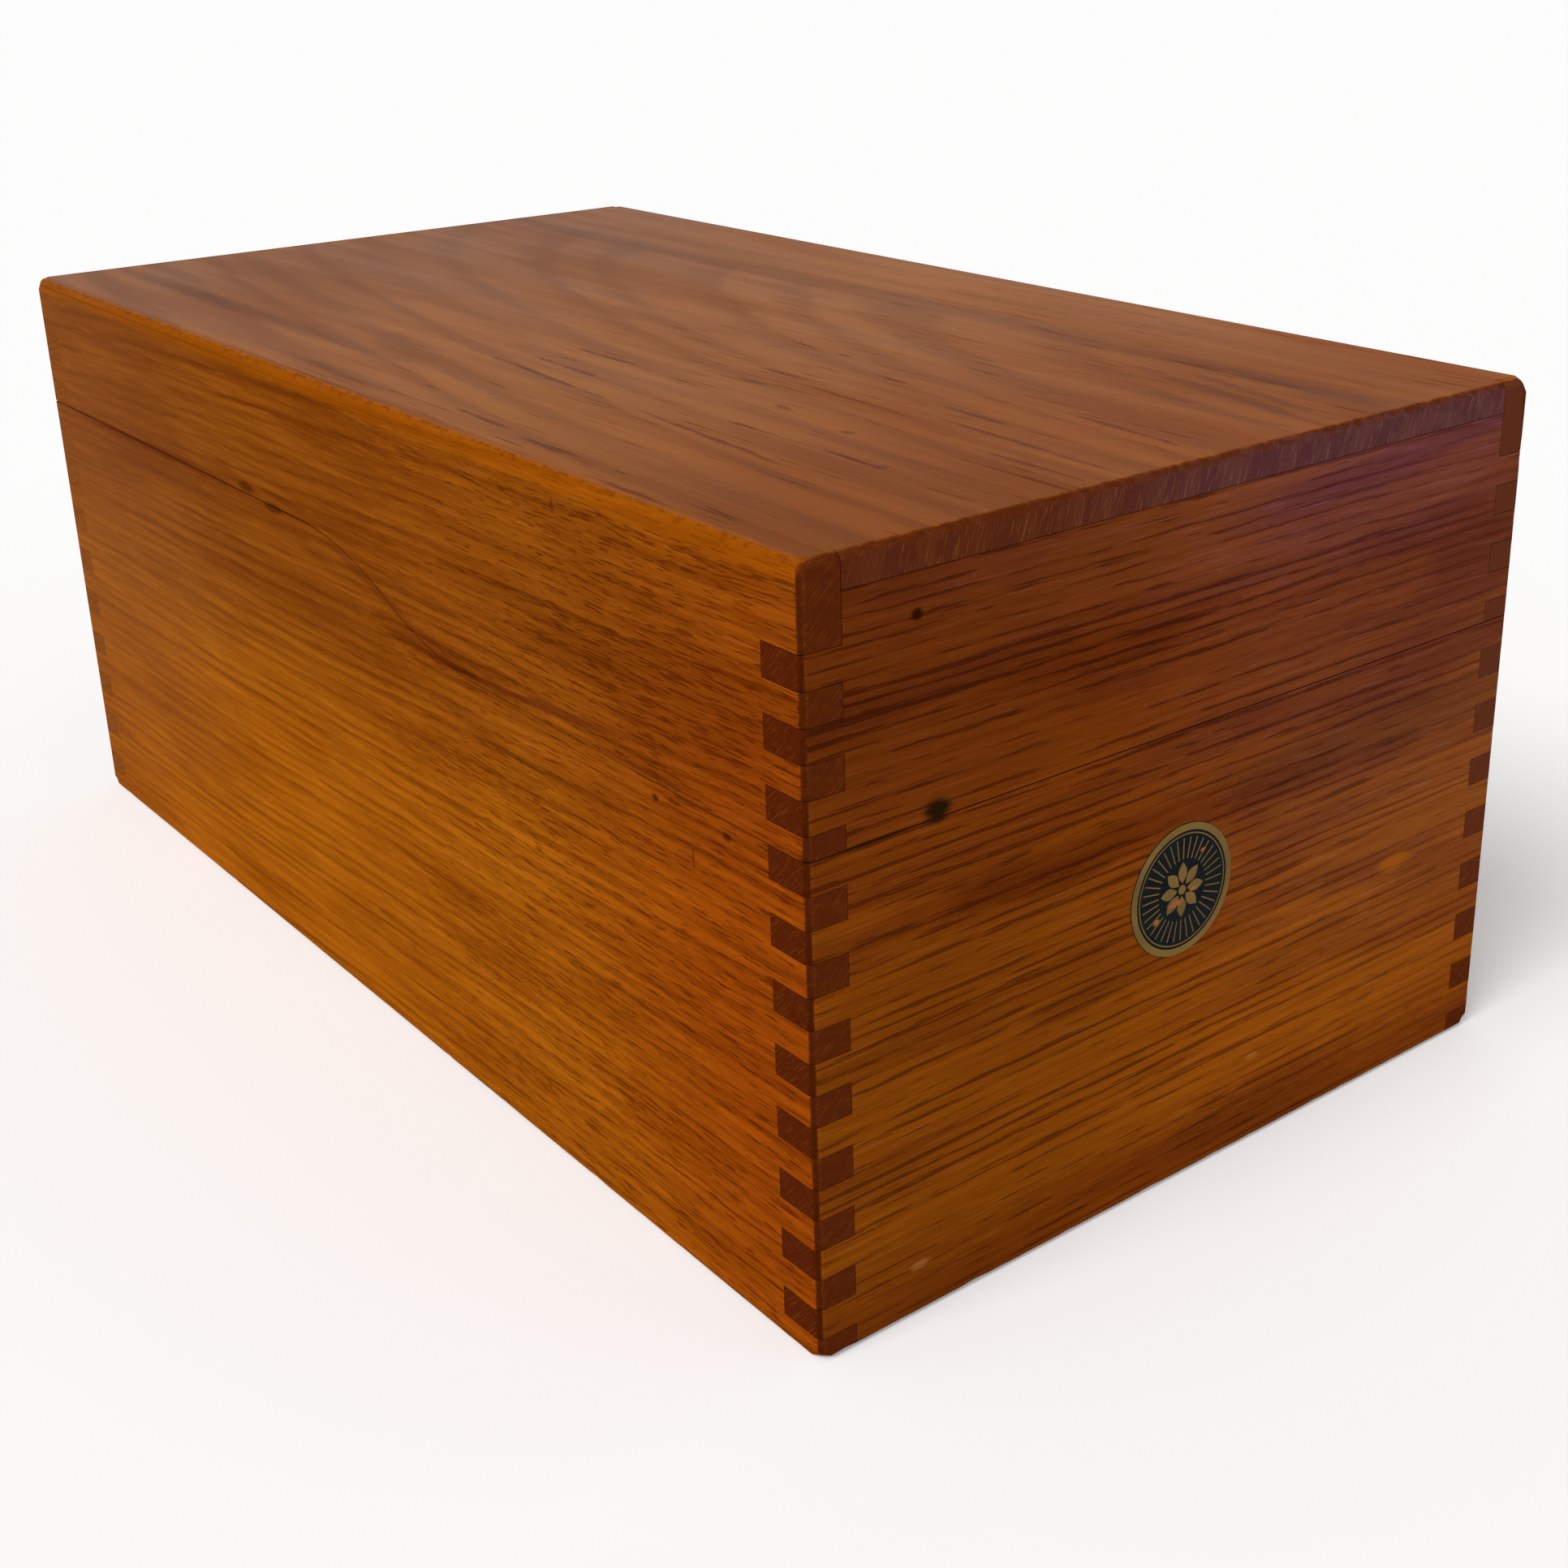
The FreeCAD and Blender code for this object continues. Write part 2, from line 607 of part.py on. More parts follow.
half = "(track_width / 2)"
wall = "(track_width / 2 - track_sheet)"
lip = "(track_slot / 2)"
ceiling = "(track_height - track_sheet)"
channel = pad(new_body("track_channel", ("0", f"-{TRACK_END}", TRACK_FLOOR)), "XZ_Plane",
              [(f"-{half}", "0"), (half, "0"), (half, "track_height"), (lip, "track_height"),
               (lip, ceiling), (wall, ceiling), (wall, "track_sheet"), (f"-{wall}", "track_sheet"),
               (f"-{wall}", ceiling), (f"-{lip}", ceiling), (f"-{lip}", "track_height"),
               (f"-{half}", "track_height")],
              f"2 * {TRACK_END}", reverse=True)
tongue_rooms = [centred_box(f"tongue_room_{number}", f"(track_width / 2 + {OVERSHOOT})", low,
                            f"{TRACK_FLOOR} + track_sheet", f"tongue_length + {OVERSHOOT}", "track_height")
                for number, low in enumerate((f"-{TRACK_END} - {OVERSHOOT}", CHANNEL_END))]
node(cut("track_cut", channel, tongue_rooms + tack_holes), "follower_track")
fasteners("track_tacks", track_tack, AXES["+Z"], tack_places)

# Follower shoe and its pivot pin
shoe_bottom = f"({TRACK_FLOOR} + track_sheet + running_clearance)"
shoe_top = f"({FLOOR} - track_sheet - running_clearance)"
saddle_bottom = f"({FLOOR} + running_clearance)"
saddle_front = f"({PIVOT_Y} - saddle_length / 2)"
runner = centred_box("shoe_runner", "(track_width / 2 - track_sheet - running_clearance)",
                     f"{PIVOT_Y} - shoe_nose", shoe_bottom, "shoe_nose + shoe_tail",
                     f"{shoe_top} - {shoe_bottom}")
neck = centred_box("shoe_neck", "(track_slot / 2 - running_clearance)", saddle_front, shoe_bottom,
                   "saddle_length", f"{saddle_bottom} - {shoe_bottom}")
saddle = centred_box("shoe_saddle", "(saddle_width / 2)", saddle_front, saddle_bottom, "saddle_length",
                     f"{PIVOT_Z} + saddle_rise - {saddle_bottom}")
pivot_half = f"({BRACKET_HALF} + pivot_overhang)"
pivot_bore = cylinder("pivot_bore", "+X", (f"-{pivot_half}", PIVOT_Y, PIVOT_Z),
                      "pivot_radius + pin_clearance", f"2 * {pivot_half}")
node(cut("shoe_cut", fuse("shoe_blank", [runner, neck, saddle]), [pivot_bore]), "follower_shoe")
node(cylinder("pivot_bar", "+X", (f"-{pivot_half}", PIVOT_Y, PIVOT_Z), "pivot_radius",
              f"2 * {pivot_half}"), "follower_pivot_pin")

# Follower bracket: a plate on the back of the block, with an ear on each side of the saddle
bracket_screws = [(x, f"{BLOCK_BACK} + bracket_sheet", f"{PIVOT_Z} + bracket_screw_rise + {rise}")
                  for x in ("-bracket_screw_spread / 2", "bracket_screw_spread / 2")
                  for rise in ("0", "bracket_screw_pitch")]
plate_bottom = f"({FLOOR} + bracket_lift)"
bracket_solids = [centred_box("bracket_plate", BRACKET_HALF, BLOCK_BACK, plate_bottom, "bracket_sheet",
                              "bracket_height")]
for side, near_face in (("left", f"-{BRACKET_HALF}"), ("right", f"{BRACKET_HALF} - bracket_sheet")):
    bracket_solids.append(
        pad(new_body(f"{side}_ear", (near_face, "0", "0")), "YZ_Plane",
            [(BLOCK_BACK, plate_bottom), (PIVOT_Y, plate_bottom, EAR_RADIUS, 1),
             (f"{PIVOT_Y} + {EAR_RADIUS}", PIVOT_Z, EAR_RADIUS, 1),
             (PIVOT_Y, f"{PIVOT_Z} + {EAR_RADIUS}"), (BLOCK_BACK, f"{PIVOT_Z} + {EAR_RADIUS}")],
            "bracket_sheet"))
bracket_holes = [screw_hole(f"bracket_hole_{number}", "-Y", place)
                 for number, place in enumerate(bracket_screws)]
bracket_seats = [countersink(f"bracket_seat_{number}", "-Y", place)
                 for number, place in enumerate(bracket_screws)]
node(cut("bracket_cut", fuse("bracket_blank", bracket_solids),
         [pivot_bore] + bracket_holes + bracket_seats), "follower_bracket")
fasteners("bracket_screws", wood_screw, Rotation(Vector(1, 0, 0), -90), bracket_screws)

# Follower block, with rounded top corners: it stands just clear of the floor, which stops it from
# tipping forward
block_half = f"({INSIDE_X} - block_side_gap)"
block_bottom = f"({FLOOR} + running_clearance)"
block_top = f"({TOP_UNDERSIDE} - block_headroom)"
block_blank = pad(new_body("block_blank", ("0", BLOCK_BACK, "0")), "XZ_Plane",
                  [(f"-{block_half}", block_bottom), (block_half, block_bottom),
                   (block_half, f"{block_top} - block_corner", "block_corner", 1),
                   (f"{block_half} - block_corner", block_top),
                   (f"block_corner - {block_half}", block_top, "block_corner", 1),
                   (f"-{block_half}", f"{block_top} - block_corner")],
                  "block_thickness")
node(cut("block_cut", block_blank, bracket_holes + bracket_seats), "follower_block")

# Check every object and write the pieces
doc.recompute()
for thing in doc.Objects:
    if "Invalid" in thing.State or "Error" in thing.State:
        raise RuntimeError(f"{thing.Name}: {thing.State}")
for thing in nodes:
    if thing.Shape.isNull() or not thing.Shape.isValid() or not thing.Shape.Solids:
        raise RuntimeError(f"{thing.Label}: no valid solid")
os.makedirs("parts", exist_ok=True)
for thing in nodes:
    thing.Shape.exportStep(os.path.join("parts", f"{thing.Label}.step"))
    print(f"{thing.Label}: {len(thing.Shape.Solids)} solids, {thing.Shape.Volume / 1000:.2f} cm3")
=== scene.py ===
"""Looks of an oak index card box: worn boards, varnish, a transfer badge, brass and steel.

Metres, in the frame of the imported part: +Z is up and the front with the badge faces -Y.
Finishes measure in millimetres, because the figure of wood and metal is that small.
"""
import json
import logging
import math
from collections.abc import Mapping, Sequence
from dataclasses import dataclass, field, replace
from enum import Enum, IntEnum

import bmesh
import bpy
from mathutils import Matrix, Vector, noise


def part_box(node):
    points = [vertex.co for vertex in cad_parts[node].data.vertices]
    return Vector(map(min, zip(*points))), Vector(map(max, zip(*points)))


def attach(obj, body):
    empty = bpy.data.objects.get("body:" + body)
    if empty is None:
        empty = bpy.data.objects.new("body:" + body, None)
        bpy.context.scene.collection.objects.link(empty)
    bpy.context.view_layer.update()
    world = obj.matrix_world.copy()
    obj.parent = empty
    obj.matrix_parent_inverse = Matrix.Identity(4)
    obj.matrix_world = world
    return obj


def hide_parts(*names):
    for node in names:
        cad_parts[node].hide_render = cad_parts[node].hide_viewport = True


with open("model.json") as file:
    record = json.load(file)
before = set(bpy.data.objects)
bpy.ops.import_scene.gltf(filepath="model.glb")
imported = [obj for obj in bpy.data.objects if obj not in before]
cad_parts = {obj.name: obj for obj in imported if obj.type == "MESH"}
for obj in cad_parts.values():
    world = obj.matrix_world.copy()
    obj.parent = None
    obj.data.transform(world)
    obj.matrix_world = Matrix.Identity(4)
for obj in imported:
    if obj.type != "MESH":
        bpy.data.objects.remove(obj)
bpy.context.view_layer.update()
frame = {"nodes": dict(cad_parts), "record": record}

RECORD = frame["record"]
SLOTS = {row["node"]: row["material_slot"] for row in RECORD["subparts"]}
BODIES = {node: body for body, nodes in RECORD["behaviour"]["bodies"].items() for node in nodes}
LOG = logging.getLogger("card_box")
MM = 0.001
TINY = 1e-5

Colour = tuple[float, float, float]
Triple = tuple[float, float, float]
Pair = tuple[float, float]
Socket = bpy.types.NodeSocket
Feed = Socket | float | Sequence[float] | bpy.types.ID


# Node trees

class Graph:
    """Adds nodes to one node tree and links them."""

    def __init__(self, tree: bpy.types.NodeTree) -> None:
        """Work on a shader or geometry node tree."""
        self.tree = tree

    def feed(self, socket: Socket, feed: Feed) -> None:
        """Link a socket to another one, or set its value.

        Args:
            socket: the input to feed.
            feed: an output socket, a number, a vector or a colour.
        """
        if isinstance(feed, Socket):
            self.tree.links.new(feed, socket)
        elif socket.type == "RGBA" and len(feed) == 3:
            socket.default_value = (*feed, 1.0)
        else:
            socket.default_value = feed

    def add(self, kind: str, feeds: Mapping[str | int, Feed] | None = None, **settings) -> bpy.types.Node:
        """Add a node.

        Args:
            kind: the identifier of the node's type.
            feeds: what goes into its inputs, by name or by number.
            settings: the node's own properties.

        Returns:
            The new node.
        """
        node = self.tree.nodes.new(kind)
        for name, setting in settings.items():
            setattr(node, name, setting)
        for key, feed in (feeds or {}).items():
            self.feed(node.inputs[key], feed)
        return node

    def math(self, operation: str, *feeds: Feed) -> Socket:
        """Put numbers through one Math node and return its result."""
        return self.add("ShaderNodeMath", dict(enumerate(feeds)), operation=operation).outputs[0]

    def vector(self, operation: str, *feeds: Feed) -> Socket:
        """Put vectors through one Vector Math node and return its vector."""
        return self.add("ShaderNodeVectorMath", dict(enumerate(feeds)), operation=operation).outputs["Vector"]

    def measure(self, operation: str, *feeds: Feed) -> Socket:
        """Put vectors through one Vector Math node and return its number."""
        return self.add("ShaderNodeVectorMath", dict(enumerate(feeds)), operation=operation).outputs["Value"]

    def scaled(self, vector: Feed, scale: Feed) -> Socket:
        """Multiply a vector by a number."""
        node = self.add("ShaderNodeVectorMath", {0: vector, "Scale": scale}, operation="SCALE")
        return node.outputs["Vector"]

    def parts(self, vector: Feed) -> bpy.types.NodeOutputs:
        """Split a vector into X, Y and Z."""
        return self.add("ShaderNodeSeparateXYZ", {"Vector": vector}).outputs

    def joined(self, x: Feed, y: Feed, z: Feed) -> Socket:
        """Make a vector of three numbers."""
        return self.add("ShaderNodeCombineXYZ", {"X": x, "Y": y, "Z": z}).outputs["Vector"]

    def ramp(self, feed: Feed, low: Feed, high: Feed) -> Socket:
        """Go smoothly from 0 to 1.

        Args:
            feed: the number to look at.
            low: where the result is 0.
            high: where the result is 1.

        Returns:
            The result, which stays between 0 and 1.
        """
        feeds = {"Value": feed, "From Min": low, "From Max": high}
        return self.add("ShaderNodeMapRange", feeds, interpolation_type="SMOOTHSTEP").outputs["Result"]

    def total(self, *shares: tuple[Feed, float]) -> Socket:
        """Add up numbers, each times its share.

        Args:
            shares: pairs of a number and its share.

        Returns:
            The sum.
        """
        feed, share = shares[0]
        result = self.math("MULTIPLY", feed, share)
        for feed, share in shares[1:]:
            result = self.math("MULTIPLY_ADD", feed, share, result)
        return result

    def mix(self, factor: Feed, first: Feed, second: Feed, blend: str = "MIX") -> Socket:
        """Go from the first colour to the second one as the factor goes from 0 to 1.

        Args:
            factor: the share of the second colour.
            first: the colour underneath.
            second: the colour laid over it.
            blend: the identifier of the way that the second colour is laid.

        Returns:
            The mixed colour.
        """
        feeds = {0: factor, 6: first, 7: second}
        return self.add("ShaderNodeMix", feeds, data_type="RGBA", blend_type=blend).outputs[2]

    def noise(self, place: Feed, size: Feed, detail: float = 1.0) -> Socket:
        """A noise whose blobs have a size of their own along each axis.

        Args:
            place: where to look, in millimetres.
            size: the blobs' size along each axis, in millimetres.
            detail: how many finer layers the noise has.

        Returns:
            A number around one half.
        """
        return self._blobs(place, size, detail)["Fac"]

    def sway(self, place: Feed, size: Triple, share: float) -> Socket:
        """A vector that wanders about zero.

        Args:
            place: where to look, in millimetres.
            size: the size of one swing along each axis, in millimetres.
            share: how far it wanders.

        Returns:
            The vector.
        """
        colour = self._blobs(place, size, 1.0)["Color"]
        return self.scaled(self.vector("SUBTRACT", colour, (0.5, 0.5, 0.5)), share)

    def _blobs(self, place: Feed, size: Feed, detail: float) -> bpy.types.NodeOutputs:
        """Add one Noise node, stretched by a size along each axis."""
        scaled = self.vector("DIVIDE", place, size)
        return self.add("ShaderNodeTexNoise", {"Vector": scaled, "Scale": 1.0, "Detail": detail}).outputs


class Effect:
    """A shader node group that several materials share. It is built once."""

    name: str = ""
    takes: Mapping[str, str] = {}
    gives: tuple[str, ...] = ()

    def tree(self) -> bpy.types.NodeTree:
        """Find the group, or build it.

        Returns:
            The group's node tree.
        """
        found = bpy.data.node_groups.get(self.name)
        if found:
            return found
        tree = bpy.data.node_groups.new(self.name, "ShaderNodeTree")
        for label, kind in self.takes.items():
            tree.interface.new_socket(label, in_out="INPUT", socket_type=f"NodeSocket{kind}")
        for label in self.gives:
            tree.interface.new_socket(label, in_out="OUTPUT", socket_type="NodeSocketFloat")
        graph = Graph(tree)
        entry = graph.add("NodeGroupInput")
        leave = graph.add("NodeGroupOutput")
        for label, feed in self.wire(graph, entry.outputs).items():
            graph.feed(leave.inputs[label], feed)
        return tree

    def wire(self, graph: Graph, given: bpy.types.NodeOutputs) -> dict[str, Feed]:
        """Add the group's nodes.

        Args:
            graph: the group's own tree.
            given: the group's inputs.

        Returns:
            What each output gives.
        """
        raise NotImplementedError

    def place(self, graph: Graph, feeds: Mapping[str, Feed]) -> bpy.types.NodeOutputs:
        """Put the group into a material.

        Args:
            graph: the material's tree.
            feeds: what goes into the group's inputs.

        Returns:
            The group's outputs.
        """
        node = graph.add("ShaderNodeGroup", node_tree=self.tree())
        for label, feed in feeds.items():
            graph.feed(node.inputs[label], feed)
        return node.outputs


class OakFigure(Effect):
    """Rings, pores and fibres of oak, as a solid figure that any cut of a board shows.

    X runs along the grain, Y across the board and Z through it, in millimetres.
    """

    name = "oak_figure"
    takes = {
        "Position": "Vector",
        "Pith": "Vector",
        "Ring Width": "Float",
        "Taper": "Float",
        "Tilt": "Float",
        "Waviness": "Float",
        "Row Pull": "Float",
        "Line Share": "Float",
        "Line Size": "Vector",
        "Dash Share": "Float",
        "Dash Size": "Vector",
        "Band Size": "Vector",
        "Fibre Size": "Vector",
        "Cloud Size": "Vector",
    }
    gives = ("Pores", "Early", "Fibre", "Band", "Cloud")

    slow_bend: Triple = (230.0, 55.0, 55.0)
    quick_bend: Triple = (34.0, 9.0, 9.0)
    quick_share: float = 0.22
    ring_swing: float = 1.8
    ring_swing_length: float = 2.6
    ring_rise: Pair = (0.0, 0.2)
    ring_fall: Pair = (0.25, 0.7)
    least_vigour: float = 0.45
    vigour_swing: float = 0.75
    cloud_pull: float = 0.25
    stroke_start: float = 0.76
    stroke_edge: float = 0.09

    def wire(self, graph: Graph, given: bpy.types.NodeOutputs) -> dict[str, Feed]:
        """Add the group's nodes: bend the log, count its rings, then lay pores and fibres on them."""
        place = given["Position"]
        sway = graph.vector("ADD", graph.sway(place, self.slow_bend, 1.0),
                            graph.sway(place, self.quick_bend, self.quick_share))
        bent = graph.vector("ADD", place, graph.scaled(sway, given["Waviness"]))
        early = self._early(graph, given, bent)
        cloud = graph.noise(bent, given["Cloud Size"], detail=2.0)
        pull = graph.math("MULTIPLY", early, given["Row Pull"])
        pull = graph.math("MULTIPLY_ADD", graph.math("SUBTRACT", cloud, 0.5), self.cloud_pull, pull)
        lines = self._strokes(graph, bent, given["Line Size"], given["Line Share"], pull)
        dashes = self._strokes(graph, bent, given["Dash Size"], given["Dash Share"], pull)
        return {
            "Pores": graph.math("MAXIMUM", lines, dashes),
            "Early": early,
            "Fibre": graph.noise(bent, given["Fibre Size"], detail=3.0),
            "Band": graph.noise(bent, given["Band Size"], detail=1.0),
            "Cloud": cloud,
        }

    def _early(self, graph: Graph, given: bpy.types.NodeOutputs, bent: Socket) -> Socket:
        """The early wood of each ring; the rings differ in width and in strength."""
        away = graph.parts(graph.vector("SUBTRACT", bent, given["Pith"]))
        depth = graph.math("MULTIPLY_ADD", away["X"], given["Tilt"], away["Z"])
        square = graph.math("MULTIPLY_ADD", away["Y"], away["Y"], graph.math("MULTIPLY", depth, depth))
        radius = graph.math("MULTIPLY_ADD", away["X"], given["Taper"], graph.math("SQRT", square))
        even = graph.math("DIVIDE", radius, given["Ring Width"])
        swing = graph.noise(graph.joined(even, 0.0, 0.0), (self.ring_swing_length, 1.0, 1.0))
        rings = graph.math("MULTIPLY_ADD", swing, self.ring_swing, even)
        ring = graph.math("FRACT", rings)
        luck = graph.add("ShaderNodeTexWhiteNoise", {"W": graph.math("FLOOR", rings)}, noise_dimensions="1D")
        vigour = graph.math("MULTIPLY_ADD", luck.outputs["Value"], self.vigour_swing, self.least_vigour)
        fall = graph.math("SUBTRACT", 1.0, graph.ramp(ring, *self.ring_fall))
        return graph.math("MULTIPLY", graph.math("MULTIPLY", graph.ramp(ring, *self.ring_rise), fall), vigour)

    def _strokes(self, graph: Graph, bent: Socket, size: Socket, share: Socket, pull: Socket) -> Socket:
        """Pores cut lengthwise: dark strokes with tapering ends, more of them where the pull is."""
        start = graph.math("SUBTRACT", graph.math("SUBTRACT", self.stroke_start, share), pull)
        return graph.ramp(graph.noise(bent, size), start, graph.math("ADD", start, self.stroke_edge))


class ShellDistance(Effect):
    """How far a place lies inside the outside of the closed box, and how far from its arrises."""

    name = "shell_distance"
    takes = {"Position": "Vector", "Middle": "Vector", "Half": "Vector"}
    gives = ("Depth", "Arris")

    def wire(self, graph: Graph, given: bpy.types.NodeOutputs) -> dict[str, Feed]:
        """Add the group's nodes: sort the distances to the three pairs of outside planes."""
        out = graph.vector("ABSOLUTE", graph.vector("SUBTRACT", given["Position"], given["Middle"]))
        gaps = graph.parts(graph.vector("SUBTRACT", given["Half"], out))
        low = graph.math("MINIMUM", gaps["X"], gaps["Y"])
        high = graph.math("MAXIMUM", gaps["X"], gaps["Y"])
        return {
            "Depth": graph.math("MINIMUM", low, gaps["Z"]),
            "Arris": graph.math("MAXIMUM", low, graph.math("MINIMUM", high, gaps["Z"])),
        }


class Patch(Effect):
    """One mark: an ellipsoid with a ragged edge. It draws stains, knots, ticks and scuffs, and also painted
    reflection and painted shade.
    """

    name = "blemish"
    takes = {
        "Position": "Vector",
        "Centre": "Vector",
        "Reach": "Vector",
        "Axis": "Vector",
        "Turn": "Float",
        "Wobble": "Float",
    }
    gives = ("Mask",)

    core: float = 0.35

    def wire(self, graph: Graph, given: bpy.types.NodeOutputs) -> dict[str, Feed]:
        """Add the group's nodes: turn the place about the board's thickness, then measure it."""
        off = graph.vector("SUBTRACT", given["Position"], given["Centre"])
        turned = graph.add("ShaderNodeVectorRotate", {
            "Vector": off, "Axis": given["Axis"], "Angle": given["Turn"]}, rotation_type="AXIS_ANGLE")
        share = graph.measure("LENGTH", graph.vector("DIVIDE", turned.outputs["Vector"], given["Reach"]))
        edge = graph.ramp(graph.math("ADD", share, given["Wobble"]), self.core, 1.0)
        return {"Mask": graph.math("SUBTRACT", 1.0, edge)}


class Scratches(Effect):
    """Fine scratches that run one way."""

    name = "scratches"
    takes = {"Position": "Vector", "Way": "Vector", "Share": "Float"}
    gives = ("Mask",)

    length: float = 6.0
    width: float = 0.2
    stroke_start: float = 0.76
    stroke_edge: float = 0.1

    def wire(self, graph: Graph, given: bpy.types.NodeOutputs) -> dict[str, Feed]:
        """Add the group's nodes: a fine noise that is drawn out along the scratches' way."""
        way = graph.vector("NORMALIZE", given["Way"])
        along = graph.measure("DOT_PRODUCT", given["Position"], way)
        squeeze = graph.math("MULTIPLY", along, 1.0 / self.length - 1.0 / self.width)
        fine = graph.scaled(given["Position"], 1.0 / self.width)
        lines = graph.noise(graph.vector("ADD", fine, graph.scaled(way, squeeze)), (1.0, 1.0, 1.0))
        start = graph.math("SUBTRACT", self.stroke_start, given["Share"])
        return {"Mask": graph.ramp(lines, start, graph.math("ADD", start, self.stroke_edge))}


# Outside of the closed box

@dataclass(frozen=True)
class Shell:
    """The middle and the half sizes of the closed box, without badge and hinge barrels."""

    middle: Triple
    half: Triple

    @classmethod
    def from_frame(cls) -> "Shell":
        """Read the outside planes from the boards.

        Returns:
            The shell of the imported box.
        """
        low = Vector((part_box("base_left_side")[0].x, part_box("base_front")[0].y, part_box("base_bottom")[0].z))
        high = Vector((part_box("base_right_side")[1].x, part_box("base_back")[1].y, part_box("lid_top")[1].z))
        return cls(tuple((low + high) / 2), tuple((high - low) / 2))

    def gaps(self, place: Vector) -> list[float]:
        """Distances to the nearest plane of each outside pair.

        Args:
            place: a point of a board.

        Returns:
            Three distances, the smallest first.
        """
        return sorted(self.half[axis] - abs(place[axis] - self.middle[axis]) for axis in range(3))


# Finishes

class Grain(Enum):
    """Which axes of the box lie along a board's grain, across it and through its thickness."""

    SIDE = ("Y", "Z", "X")
    END = ("X", "Z", "Y")
    PANEL = ("Y", "X", "Z")

    def through(self) -> Triple:
        """The direction through the board's thickness."""
        return tuple(float(axis == self.value[2]) for axis in "XYZ")


class Lay(Enum):
    """Whether a mark covers the wood, or tints it so that the figure shows through; the tints lay real stains,
    and also painted reflection and painted shade.
    """

    COVER = "MIX"
    STAIN = "MULTIPLY"


@dataclass(frozen=True)
class Mark:
    """A stain, knot, tick or scuff on a board, or a painted reflection or painted shade laid the same way; in
    millimetres and radians.
    """

    centre: Triple
    reach: Triple
    colour: Colour
    strength: float = 0.8
    turn: float = 0.0
    ragged: float = 0.8
    lay: Lay = Lay.COVER
    on_ends: bool = False


